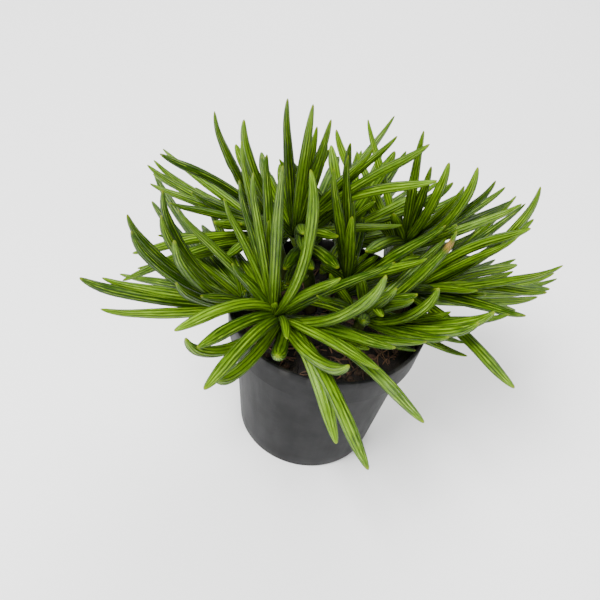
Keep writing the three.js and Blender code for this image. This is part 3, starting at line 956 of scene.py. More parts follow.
class GrainGroup:
    """The shared fine grain: a soft mottle, a fine grain and sparse specks, by scale."""

    NAME = "surface_grain"
    INPUTS = {"Vector": "NodeSocketVector", "Mottle Scale": "NodeSocketFloat",
              "Grain Scale": "NodeSocketFloat"}
    MOTTLE_NOISE = (4.0, 0.6)
    MOTTLE_STEP = (0.3, 0.7)
    GRAIN_NOISE = (2.0, 0.5)
    SPECK_STEP = (0.16, 0.05)

    @classmethod
    def tree(cls) -> bpy.types.NodeTree:
        """The node group, built once.

        Returns:
            The group's node tree.
        """
        found = bpy.data.node_groups.get(cls.NAME)
        if found:
            return found
        tree = bpy.data.node_groups.new(cls.NAME, "ShaderNodeTree")
        for name, kind in cls.INPUTS.items():
            tree.interface.new_socket(name, in_out="INPUT", socket_type=kind)
        for name in ("Mottle", "Grain", "Specks"):
            tree.interface.new_socket(name, in_out="OUTPUT", socket_type="NodeSocketFloat")
        sheet = NodeSheet(tree)
        entry = tree.nodes.new("NodeGroupInput")
        leave = tree.nodes.new("NodeGroupOutput")
        vector, mottle_scale, grain_scale = entry.outputs[:3]
        mottle = sheet.noise(vector, mottle_scale, *cls.MOTTLE_NOISE)
        grain = sheet.noise(vector, grain_scale, *cls.GRAIN_NOISE)
        cells = sheet.add("TexVoronoi", {"Vector": vector, "Scale": grain_scale})
        sheet.feed(leave.inputs["Mottle"], sheet.ramp(mottle, *cls.MOTTLE_STEP))
        sheet.feed(leave.inputs["Grain"], grain)
        sheet.feed(leave.inputs["Specks"], sheet.ramp(cells.outputs["Distance"], *cls.SPECK_STEP))
        return tree

    @classmethod
    def place(cls, sheet: NodeSheet, vector: bpy.types.NodeSocket, mottle_scale: float,
              grain_scale: float) -> list[bpy.types.NodeSocket]:
        """Places the group in a material.

        Args:
            sheet: the material's nodes.
            vector: where the grain is read.
            mottle_scale: how fine the mottle is.
            grain_scale: how fine the grain and the specks are.

        Returns:
            The mottle, the grain and the specks.
        """
        node = sheet.add("Group", node_tree=cls.tree())
        for name, value in zip(cls.INPUTS, (vector, mottle_scale, grain_scale)):
            sheet.feed(node.inputs[name], value)
        return node.outputs[:3]


@dataclass(frozen=True)
class Finish:
    """A material's name and the values that stay the same all over it."""

    name: str

    def material(self) -> bpy.types.Material:
        """Builds the material.

        Returns:
            The material, with its nodes laid out.
        """
        material = bpy.data.materials.new(self.name)
        material.use_nodes = True
        shader = material.node_tree.nodes["Principled BSDF"]
        self.paint(NodeSheet(material.node_tree), shader)
        return material

    def paint(self, sheet: NodeSheet, shader: bpy.types.Node) -> None:
        """Lays out the nodes that feed the shader. Each finish has its own."""
        raise NotImplementedError

    @staticmethod
    def coat(sheet: NodeSheet, shader: bpy.types.Node, base: bpy.types.NodeSocket,
             rough: bpy.types.NodeSocket) -> None:
        """Feeds the shader's colour and roughness."""
        sheet.feed(shader.inputs["Base Color"], base)
        sheet.feed(shader.inputs["Roughness"], rough)

    @staticmethod
    def bump(sheet: NodeSheet, shader: bpy.types.Node, height: bpy.types.NodeSocket,
             strength: float, depth: float) -> None:
        """Raises the surface by a depth in mm times its height value."""
        node = sheet.add("Bump", {"Height": height, "Strength": strength, "Distance": depth * MM})
        sheet.feed(shader.inputs["Normal"], node.outputs["Normal"])


@dataclass(frozen=True)
class LeafSkin(Finish):
    """A waxy green leaf with fine darker lines along it and a paler point.

    A step or a break holds where a smooth step begins and ends, then its results there if they
    aren't 0 and 1. A grain holds how much a noise is squeezed across, over and along the leaf,
    and a noise its scale and its detail.
    """

    name: str = "leaf_skin"
    deep: Colour = colour(38, 67, 0)
    fresh: Colour = colour(92, 128, 2)
    # streak: painted highlight, the colour of pale glints laid along the ridges between the dark
    # lines
    streak: Colour = colour(172, 206, 70)
    line: Colour = colour(18, 36, 0)
    # edge: painted shade, laid on the sides of the leaf that turn away from the eye
    edge: Colour = colour(22, 42, 0)
    tip: Colour = colour(140, 150, 24)
    tan: Colour = colour(150, 112, 52)
    streak_grain: Numbers = (1.3, 1.3, 0.09)
    streak_noise: Numbers = (1.6, 3.0)
    patch_grain: Numbers = (0.5, 0.5, 0.22)
    patch_noise: Numbers = (1.0, 2.0)
    pore_grain: Numbers = (3.0, 3.0, 2.2)
    pore_noise: Numbers = (3.2, 2.0)
    line_count: float = 11
    fine_count: float = 23
    wander: float = 5.0
    line_step: Numbers = (0.35, 0.95)
    fine_step: Numbers = (0.5, 1.0, 0.0, 0.4)
    line_root_step: Numbers = (0.0, 0.12)
    line_tip_step: Numbers = (0.99, 0.88)
    line_breaks: Numbers = (0.32, 0.55, 0.4, 1.0)
    line_share: float = 0.85
    patch_share: float = 0.9
    tone_share: float = 0.75
    green_step: Numbers = (0.3, 1.25)
    # The next three lay the painted highlight streaks: where they sit on the wave, how the noise
    # breaks them and how strongly they cover.
    painted_glint_step: Numbers = (-0.5, -1.0)
    painted_glint_breaks: Numbers = (0.42, 0.66)
    painted_glint_share: float = 0.5
    # root_step: painted shade, the line colour laid over each leaf towards its root
    root_step: Numbers = (0.3, 0.0, 0.0, 0.5)
    # The next three shape the painted edge shade; its mask also makes the edges rougher.
    edge_blend: float = 0.5
    edge_step: Numbers = (0.4, 0.95)
    painted_edge_shade_share: float = 0.85
    tip_step: Numbers = (0.975, 1.0, 0.0, 0.5)
    scar_start: Numbers = (0.84, 0.9)
    scar_end: Numbers = (0.96, 0.91)
    scar_breaks: Numbers = (0.35, 0.55)
    scar_share: float = 0.85
    roughness: float = 0.32
    pore_roughness: float = 0.2
    line_roughness: float = 0.08
    edge_roughness: float = 0.5
    rib_height: float = -0.5
    pore_height: float = 0.25
    line_height: float = -0.7
    relief_strength: float = 0.8
    relief_depth: float = 0.16
    glow: float = 0.12
    glow_colour: Numbers = (0.5, 1.0, 0.2)
    glow_depth: float = 0.9
    gloss: float = 0.2

    def paint(self, sheet: NodeSheet, shader: bpy.types.Node) -> None:
        """Lays out the leaf's colours, from its greens through painted highlight streaks and
        painted shade up to its scar, and then its surface.

        Args:
            sheet: the material's nodes.
            shader: its shader.
        """
        place = sheet.add("Attribute", attribute_name="leaf_place").outputs["Vector"]
        look = sheet.add("Attribute", attribute_name="leaf_look").outputs["Vector"]
        part, tone, scarred = sheet.add("SeparateXYZ", {"Vector": look}).outputs
        streaks = sheet.noise(sheet.stretch(place, self.streak_grain), *self.streak_noise)
        patches = sheet.noise(sheet.stretch(place, self.patch_grain), *self.patch_noise)
        wave, lines = self.lines(sheet, place, part, streaks)
        # ridge: the mask of the painted highlight streaks, on the ridges between the coarse lines
        ridge = sheet.times(sheet.ramp(wave, *self.painted_glint_step),
                            sheet.ramp(streaks, *self.painted_glint_breaks))
        # facing and rounding: the mask of the sides that turn away from the eye, which carries the
        # painted edge shade and the rougher edges
        facing = sheet.add("LayerWeight", {"Blend": self.edge_blend}).outputs["Facing"]
        rounding = sheet.ramp(facing, *self.edge_step)
        scar = sheet.times(sheet.times(scarred, self.near_tip(sheet, part)),
                           sheet.ramp(streaks, *self.scar_breaks))
        mottled = sheet.scaled(patches, self.patch_share, sheet.times(tone, self.tone_share))
        green = sheet.layered(
            self.deep,
            (sheet.ramp(mottled, *self.green_step), self.fresh),
            # painted highlight streaks along the ridges
            (sheet.times(ridge, self.painted_glint_share), self.streak),
            (sheet.times(lines, self.line_share), self.line),
            # painted shade towards the leaf's root
            (sheet.ramp(part, *self.root_step), self.line),
            # painted shade on the turned-away edges
            (sheet.times(rounding, self.painted_edge_shade_share), self.edge),
            (sheet.ramp(part, *self.tip_step), self.tip),
            (sheet.times(scar, self.scar_share), self.tan),
        )
        pores = sheet.noise(sheet.stretch(place, self.pore_grain), *self.pore_noise)
        rough = sheet.scaled(pores, self.pore_roughness, self.roughness - self.pore_roughness / 2)
        rough = sheet.scaled(lines, self.line_roughness, rough)
        self.coat(sheet, shader, green, sheet.scaled(rounding, self.edge_roughness, rough))
        ribs = sheet.scaled(wave, self.rib_height, sheet.times(pores, self.pore_height))
        self.bump(sheet, shader, sheet.scaled(lines, self.line_height, ribs),
                  self.relief_strength, self.relief_depth)
        shader.inputs["Subsurface Weight"].default_value = self.glow
        shader.inputs["Subsurface Radius"].default_value = self.glow_colour
        shader.inputs["Subsurface Scale"].default_value = self.glow_depth * MM
        shader.inputs["Specular IOR Level"].default_value = self.gloss

    def lines(self, sheet: NodeSheet, place: bpy.types.NodeSocket, part: bpy.types.NodeSocket,
              streaks: bpy.types.NodeSocket) -> tuple[bpy.types.NodeSocket, bpy.types.NodeSocket]:
        """The dark lines along the leaf, coarse and fine, which fade at both its ends.

        Args:
            sheet: the material's nodes.
            place: the place across, over and along the leaf.
            part: the place from its root (0) to its tip (1).
            streaks: the noise that bends the lines and breaks them.

        Returns:
            The wave that the coarse lines follow, and all the lines.
        """
        across, over, _ = sheet.add("SeparateXYZ", {"Vector": place}).outputs
        angle = sheet.calculate("ARCTAN2", over, across)
        wander = sheet.scaled(streaks, self.wander, -self.wander / 2)
        wave = sheet.calculate("COSINE", sheet.scaled(angle, self.line_count, wander))
        fine = sheet.calculate("COSINE", sheet.scaled(angle, self.fine_count, wander))
        line = sheet.calculate("MAXIMUM", sheet.ramp(wave, *self.line_step),
                               sheet.ramp(fine, *self.fine_step))
        fade = sheet.times(sheet.ramp(part, *self.line_root_step),
                           sheet.ramp(part, *self.line_tip_step))
        return wave, sheet.times(sheet.times(line, fade), sheet.ramp(streaks, *self.line_breaks))

    def near_tip(self, sheet: NodeSheet, part: bpy.types.NodeSocket) -> bpy.types.NodeSocket:
        """The band below the tip where a scar lies."""
        return sheet.times(sheet.ramp(part, *self.scar_start), sheet.ramp(part, *self.scar_end))


@dataclass(frozen=True)
class StemBark(Finish):
    """A short green stem that turns brown and corky towards the soil."""

    name: str = "stem_bark"
    green: Colour = colour(60, 80, 18)
    brown: Colour = colour(50, 38, 24)
    grain: Colour = colour(32, 32, 14)
    mottle_scale: float = 260
    grain_scale: float = 1400
    brown_below: float = 46
    green_above: float = 62
    unevenness: float = 6
    grain_share: float = 0.5
    roughness: float = 0.5
    grain_roughness: float = 0.3
    relief_strength: float = 0.6
    relief_depth: float = 0.2
    gloss: float = 0.15

    def paint(self, sheet: NodeSheet, shader: bpy.types.Node) -> None:
        """Lays out the bark: brown below, green above, with a fine grain all over.

        Args:
            sheet: the material's nodes.
            shader: its shader.
        """
        where = sheet.place()
        height = sheet.add("SeparateXYZ", {"Vector": where}).outputs["Z"]
        mottle, grain, _ = GrainGroup.place(sheet, where, self.mottle_scale, self.grain_scale)
        uneven = sheet.scaled(mottle, self.unevenness * MM, height)
        bark = sheet.layered(
            self.brown,
            (sheet.ramp(uneven, self.brown_below * MM, self.green_above * MM), self.green),
            (sheet.times(grain, self.grain_share), self.grain),
        )
        self.coat(sheet, shader, bark, sheet.scaled(grain, self.grain_roughness, self.roughness))
        self.bump(sheet, shader, grain, self.relief_strength, self.relief_depth)
        shader.inputs["Specular IOR Level"].default_value = self.gloss


@dataclass(frozen=True)
class PotPlastic(Finish):
    """Thin charcoal nursery-pot plastic: matte, softly mottled, scuffed and dusty.

    A step or a break holds where a smooth step begins and ends, then its results there if they
    aren't 0 and 1. A grain holds how much a noise is squeezed along x, y and z, and a noise its
    scale, its detail and its roughness. Heights are in mm.
    """

    name: str = "pot_plastic_finish"
    body: Colour = colour(30, 30, 31)
    dark: Colour = colour(16, 16, 17)
    dust: Colour = colour(64, 63, 61)
    # painted shade: the darker brownish colour that the inner wall takes towards the soil
    painted_shade: Colour = colour(22, 17, 13)
    mottle_scale: float = 120
    grain_scale: float = 2600
    flow_grain: Numbers = (260.0, 260.0, 34.0)
    flow_noise: Numbers = (1.0, 4.0)
    scuff_grain: Numbers = (90.0, 90.0, 700.0)
    scuff_noise: Numbers = (1.0, 3.0, 0.7)
    flow_step: Numbers = (0.5, 0.8, 0.0, 0.35)
    scuff_step: Numbers = (0.66, 0.8, 0.0, 0.3)
    speck_share: float = 0.16
    # A paler band towards the rim: the heights in mm where it begins and where it is full, its
    # strength and how the flow breaks it.
    rim_pale_from: float = 44.5
    rim_pale_to: float = 48
    rim_pale_share: float = 0.5
    rim_pale_breaks: Numbers = (0.4, 0.65)
    # Painted shade inside the wall: its strength, and the heights in mm where it begins and where
    # it is full, broken by the mottle.
    painted_shade_share: float = 0.0
    painted_shade_from: float = 47.8
    painted_shade_to: float = 44.5
    painted_shade_breaks: Numbers = (0.1, 0.7, 0.4, 1.0)
    roughness: float = 0.4
    flow_roughness: float = 0.22
    scuff_roughness: float = 0.5
    gloss: float = 0.1
    flow_height: float = 0.6
    grain_height: float = 0.3
    relief_strength: float = 0.35
    relief_depth: float = 0.15

    def paint(self, sheet: NodeSheet, shader: bpy.types.Node) -> None:
        """Lays out the plastic, what has worn it, a paler band near the rim and, inside, painted
        shade that darkens the wall towards the soil.

        Args:
            sheet: the material's nodes.
            shader: its shader.
        """
        where = sheet.place()
        z = sheet.add("SeparateXYZ", {"Vector": where}).outputs["Z"]
        mottle, grain, specks = GrainGroup.place(sheet, where, self.mottle_scale, self.grain_scale)
        flow = sheet.noise(sheet.stretch(where, self.flow_grain), *self.flow_noise)
        scuffs = sheet.noise(sheet.stretch(where, self.scuff_grain), *self.scuff_noise)

        worn = sheet.ramp(scuffs, *self.scuff_step)
        # paler towards the rim, in the dust colour, broken by the flow
        high = sheet.ramp(z, self.rim_pale_from * MM, self.rim_pale_to * MM, 0.0,
                          self.rim_pale_share)
        plastic = sheet.layered(
            self.dark,
            (mottle, self.body),
            (sheet.ramp(flow, *self.flow_step), self.body),
            (worn, self.dust),
            (sheet.times(specks, self.speck_share), self.dust),
            # the paler band towards the rim
            (sheet.times(high, sheet.ramp(flow, *self.rim_pale_breaks)), self.dust),
        )
        # painted shade: the inner wall darkens from the rim down towards the soil
        if self.painted_shade_share:
            low = sheet.ramp(z, self.painted_shade_from * MM, self.painted_shade_to * MM, 0.0, self.painted_shade_share)
            painted_shade_mask = sheet.times(low, sheet.ramp(mottle, *self.painted_shade_breaks))
            plastic = sheet.blend(painted_shade_mask, plastic, self.painted_shade)

        rough = sheet.scaled(flow, self.flow_roughness, self.roughness)
        self.coat(sheet, shader, plastic, sheet.scaled(worn, self.scuff_roughness, rough))
        height = sheet.scaled(flow, self.flow_height, sheet.times(grain, self.grain_height))
        self.bump(sheet, shader, height, self.relief_strength, self.relief_depth)
        shader.inputs["Specular IOR Level"].default_value = self.gloss


@dataclass(frozen=True)
class SoilFinish(Finish):
    """Potting mix: dark peat, bark and fibre, each bit with its own tone."""

    name: str = "potting_mix_finish"
    dark: Colour = colour(14, 10, 8)
    light: Colour = colour(38, 28, 21)
    pale: Colour = colour(84, 60, 42)
    toned: bool = False
    mottle_scale: float = 420
    grain_scale: float = 2200
    speck_share: float = 0.25
    tone_step: Numbers = (0.25, 1.0)
    roughness: float = 0.75
    grain_roughness: float = 0.2
    relief_strength: float = 0.8
    relief_depth: float = 0.35

    def paint(self, sheet: NodeSheet, shader: bpy.types.Node) -> None:
        """Lays out the mottled earth and, on loose bits, the tone of each.

        Args:
            sheet: the material's nodes.
            shader: its shader.
        """
        mottle, grain, specks = GrainGroup.place(sheet, sheet.place(), self.mottle_scale,
                                                 self.grain_scale)
        earth = sheet.layered(self.dark, (mottle, self.light),
                              (sheet.times(specks, self.speck_share), self.pale))
        if self.toned:
            tone = sheet.add("Attribute", attribute_name="bit_tone").outputs["Fac"]
            earth = sheet.blend(sheet.ramp(tone, *self.tone_step), earth, self.pale)
        self.coat(sheet, shader, earth, sheet.scaled(grain, self.grain_roughness, self.roughness))
        self.bump(sheet, shader, grain, self.relief_strength, self.relief_depth)


@dataclass(frozen=True)
class FloorFinish(Finish):
    """A plain pale floor with a barely uneven tone."""

    name: str = "floor_finish"
    pale: Colour = colour(252, 252, 252)
    shade: Colour = colour(248, 248, 248)
    mottle_scale: float = 3
    grain_scale: float = 300
    roughness: float = 0.7
    grain_roughness: float = 0.1

    def paint(self, sheet: NodeSheet, shader: bpy.types.Node) -> None:
        """Lays out the floor's tone.

        Args:
            sheet: the material's nodes.
            shader: its shader.
        """
        mottle, grain, _ = GrainGroup.place(sheet, sheet.place(), self.mottle_scale,
                                            self.grain_scale)
        self.coat(sheet, shader, sheet.blend(mottle, self.pale, self.shade),
                  sheet.scaled(grain, self.grain_roughness, self.roughness))


class Bench:
    """Modelling steps that several pieces share."""

    @staticmethod
    def clear_selection() -> None:
        """Leaves edit mode and deselects everything."""
        if bpy.context.object and bpy.context.object.mode != "OBJECT":
            bpy.ops.object.mode_set(mode="OBJECT")
        bpy.ops.object.select_all(action="DESELECT")

    @classmethod
    def pick(cls, *pieces: bpy.types.Object) -> None:
        """Selects pieces, the first of them as the active one.

        Args:
            pieces: the pieces.
        """
        cls.clear_selection()
        for piece in pieces:
            piece.select_set(True)
        bpy.context.view_layer.objects.active = pieces[0]

    @classmethod
    @contextmanager
    def editing(cls, piece: bpy.types.Object) -> Iterator[None]:
        """Edit mode on a piece, with all of it selected at the start.

        Args:
            piece: the piece.

        Yields:
            Nothing: the steps inside work on the piece.
        """
        cls.pick(piece)
        bpy.ops.object.mode_set(mode="EDIT")
        bpy.ops.mesh.select_all(action="SELECT")
        yield
        bpy.ops.object.mode_set(mode="OBJECT")

    @staticmethod
    def turn_outward() -> None:
        """Turns all faces of the piece in edit mode outward."""
        bpy.ops.mesh.select_all(action="SELECT")
        bpy.ops.mesh.normals_make_consistent(inside=False)

    @classmethod
    def turned(cls, name: str, profile: list[tuple[float, float]], sides: int,
               unit: float = MM) -> bpy.types.Object:
        """A closed round body, drawn up ring by ring from a circle.

        Args:
            name: the piece's name.
            profile: (radius, height) pairs. The first and the last ring are closed over.
            sides: the number of sides.
            unit: what a length of 1 in the profile stands for, in metres.

        Returns:
            The object, at the origin.
        """
        cls.clear_selection()
        (radius, height), *rest = profile
        bpy.ops.mesh.primitive_circle_add(vertices=sides, radius=radius * unit,
                                          location=(0, 0, height * unit), fill_type="NGON")
        piece = bpy.context.object
        piece.name = name
        with cls.editing(piece):
            for next_radius, next_height in rest:
                bpy.ops.mesh.extrude_region_move(
                    TRANSFORM_OT_translate={"value": (0, 0, (next_height - height) * unit)})
                ratio = next_radius / radius
                bpy.ops.transform.resize(value=(ratio, ratio, 1),
                                         center_override=(0, 0, next_height * unit))
                radius, height = next_radius, next_height
            cls.turn_outward()
        bpy.ops.object.transform_apply(location=True, rotation=True, scale=True)
        return piece

    @classmethod
    def rod(cls, radius: float, length: float, place: Numbers, sides: int) -> bpy.types.Object:
        """An upright rod that cuts a round hole.

        Args:
            radius: its radius, in mm.
            length: its length, in mm.
            place: the x, y and z of its middle, in mm.
            sides: the number of sides.

        Returns:
            The rod.
        """
        cls.clear_selection()
        bpy.ops.mesh.primitive_cylinder_add(vertices=sides, radius=radius * MM, depth=length * MM,
                                            location=[value * MM for value in place])
        return bpy.context.object

    @classmethod
    def cut(cls, piece: bpy.types.Object, cutters: list[bpy.types.Object]) -> None:
        """Cuts closed bodies out of a piece.

        Args:
            piece: the piece.
            cutters: the bodies, which are used up.
        """
        for cutter in cutters:
            modifier = piece.modifiers.new("cut", "BOOLEAN")
            modifier.operation = "DIFFERENCE"
            modifier.solver = "EXACT"
            modifier.object = cutter
            cls.pick(piece)
            bpy.ops.object.modifier_apply(modifier=modifier.name)
            bpy.data.objects.remove(cutter)

    @classmethod
    def smooth(cls, piece: bpy.types.Object, degrees: float) -> None:
        """Shades a piece smoothly, apart from edges sharper than an angle."""
        cls.pick(piece)
        bpy.ops.object.shade_smooth_by_angle(angle=math.radians(degrees))

    @classmethod
    def copy(cls, name: str, master: bpy.types.Object, points: np.ndarray,
             **values: np.ndarray) -> bpy.types.Object:
        """A smooth copy of a piece with points of its own.

        Args:
            name: the copy's name.
            master: the piece that it is copied from.
            points: its points, one row of x, y, z in mm for each of the master's.
            values: its attributes by name, one value or vector for each point.

        Returns:
            The copy.
        """
        mesh = master.data.copy()
        cls.move(mesh, points * MM)
        for key, value in values.items():
            cls.write(mesh, key, value)
        mesh.shade_smooth()
        made = bpy.data.objects.new(name, mesh)
        bpy.context.collection.objects.link(made)
        return made

    @classmethod
    def join(cls, name: str, pieces: list[bpy.types.Object]) -> bpy.types.Object:
        """Joins pieces in one.

        Args:
            name: the name of the joined piece.
            pieces: the pieces.

        Returns:
            The joined piece.
        """
        cls.pick(*pieces)
        bpy.ops.object.join()
        joined = bpy.context.object
        joined.name = name
        joined.data.name = name
        return joined

    @staticmethod
    def coordinates(mesh: bpy.types.Mesh) -> np.ndarray:
        """A mesh's points.

        Args:
            mesh: the mesh.

        Returns:
            One row of x, y, z for each point.
        """
        values = np.zeros(len(mesh.vertices) * 3)
        mesh.vertices.foreach_get("co", values)
        return values.reshape(-1, 3)

    @staticmethod
    def move(mesh: bpy.types.Mesh, points: np.ndarray) -> None:
        """Moves a mesh's points."""
        mesh.vertices.foreach_set("co", points.ravel())
        mesh.update()

    @staticmethod
    def write(mesh: bpy.types.Mesh, name: str, values: np.ndarray) -> None:
        """Writes an attribute.

        Args:
            mesh: the mesh that takes it.
            name: the attribute's name.
            values: one value, or one vector, for each point.
        """
        vector = values.ndim == 2
        kind = "FLOAT_VECTOR" if vector else "FLOAT"
        made = mesh.attributes.get(name) or mesh.attributes.new(name, kind, "POINT")
        made.data.foreach_set("vector" if vector else "value", values.ravel())

    @staticmethod
    def hand_over(piece: bpy.types.Object, slot: Slot, *nodes: str) -> None:
        """Tells the frame what a finished piece rides on and stands for.

        Args:
            piece: the piece.
            slot: its material slot; not used.
            nodes: the nodes that it stands for.
        """
        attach(piece, BODY)
        if nodes:
            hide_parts(*nodes)
        LOG.info("%s: %d points", piece.name, len(piece.data.vertices))


@dataclass
class NurseryPot:
    """The thin round pot with its stepped collar and drain holes.

    Sizes are in mm. A wave of the wall holds its count round the pot, its turn and its share.
    """

    sizes: PotSizes = field(default_factory=PotSizes)
    sides: int = 112
    hole_sides: int = 28
    middle_radius: float = 0.5
    underside_inset: float = 3
    floor_inset: float = 2
    wall_steps: int = 9
    bevel: float = 0.25
    lip_bevel: float = 0.12
    ledge_bevel: float = 0.1
    collar_bevel: tuple[float, float] = (0.3, 0.15)
    collar_rings: tuple[tuple[float, float], ...] = ((0.35, 3.2), (0.7, 6.2))
    wave: float = 0.12
    waves: tuple[tuple[int, float, float], ...] = ((3, 0.6, 1), (7, 2.0, 0.5))
    smooth_angle: float = 32
    # the strength of the painted shade on the inner wall
    inside_painted_shade_share: float = 0.8

    def profile(self) -> list[tuple[float, float]]:
        """The wall's outline, from the middle of the underside round to that of the floor.

        Returns:
            (radius, height) pairs, in mm.
        """
        s = self.sizes
        foot = s.height - s.collar_height
        lip = s.rim_radius - s.wall
        inward, upward = self.collar_bevel
        outer = [
            (self.middle_radius, 0), (s.base_radius - self.underside_inset, 0),
            (s.base_radius - s.corner_rounding, 0),
            (s.base_radius - self.bevel, self.bevel), (s.base_radius, s.corner_rounding),
        ]
        shoulder_low = foot - s.shoulder_drop
        for i in range(1, self.wall_steps):
            share = i / self.wall_steps
            outer.append((mix((s.base_radius, s.shoulder_radius), share),
                          mix((s.corner_rounding, shoulder_low), share)))
        outer += [
            (s.shoulder_radius, shoulder_low),
            (s.shoulder_radius + self.bevel, shoulder_low + self.ledge_bevel),
            (s.collar_foot_radius - inward, foot - self.ledge_bevel),
            (s.collar_foot_radius, foot + upward),
        ]
        outer += [(mix((s.collar_foot_radius, s.rim_radius), share), foot + height)
                  for share, height in self.collar_rings]
        outer += [
            (s.rim_radius, s.height - s.lip_rounding),
            (s.rim_radius - self.lip_bevel, s.height - self.lip_bevel),
            (s.rim_radius - s.lip_rounding, s.height), (lip + s.lip_rounding, s.height),
            (lip + self.lip_bevel, s.height - self.lip_bevel),
            (lip, s.height - s.lip_rounding),
        ]
        inner = s.inner_profile(0)[::-1]
        return outer + inner + [(inner[-1][0] - self.floor_inset, s.floor),
                                (self.middle_radius, s.floor)]

    def build(self) -> bpy.types.Object:
        """Models the pot.

        Returns:
            The finished pot.
        """
        pot = Bench.turned("pot_shell", self.profile(), self.sides)
        points = Bench.coordinates(pot.data)
        angle = np.arctan2(points[:, 1], points[:, 0])
        height = points[:, 2] / (self.sizes.height * MM)
        uneven = sum(share * np.sin(count * angle + turn) for count, turn, share in self.waves)
        swell = self.wave * MM * np.clip(height, 0, 1) * uneven
        reach = np.hypot(points[:, 0], points[:, 1])
        points[:, :2] *= (1 - np.abs(swell) / np.maximum(reach, MM))[:, None]
        Bench.move(pot.data, points)
        Bench.cut(pot, [self.drill(i) for i in range(self.sizes.hole_count)])
        Bench.smooth(pot, self.smooth_angle)
        pot.data.materials.append(PotPlastic().material())
        # The inner faces take a copy of the finish with painted shade towards the soil.
        inside = PotPlastic(name="pot_inside_finish", painted_shade_share=self.inside_painted_shade_share)
        pot.data.materials.append(inside.material())
        for face in pot.data.polygons:
            face.material_index = int(self.faces_in(face))
        Bench.hand_over(pot, Slot.POT, "pot")
        return pot

    def faces_in(self, face: bpy.types.MeshPolygon) -> bool:
        """Tells the faces of the inner wall and of the floor's top from the rest.

        Args:
            face: the face.

        Returns:
            Whether it is one.
        """
        inward = face.normal.x * face.center.x + face.normal.y * face.center.y < 0
        on_floor = face.normal.z > 0.5 and face.center.z < 2 * self.sizes.floor * MM
        lip_height = (self.sizes.height - self.sizes.lip_rounding) * MM
        return (inward or on_floor) and face.center.z < lip_height

    def drill(self, index: int) -> bpy.types.Object:
        """The cutter of one drain hole.

        Args:
            index: the hole's number, from 0.

        Returns:
            The rod that cuts it.
        """
        s = self.sizes
        angle = 2 * math.pi * index / s.hole_count
        place = (s.hole_ring * math.cos(angle), s.hole_ring * math.sin(angle), s.floor / 2)
        return Bench.rod(s.hole_radius, 3 * s.floor, place, self.hole_sides)


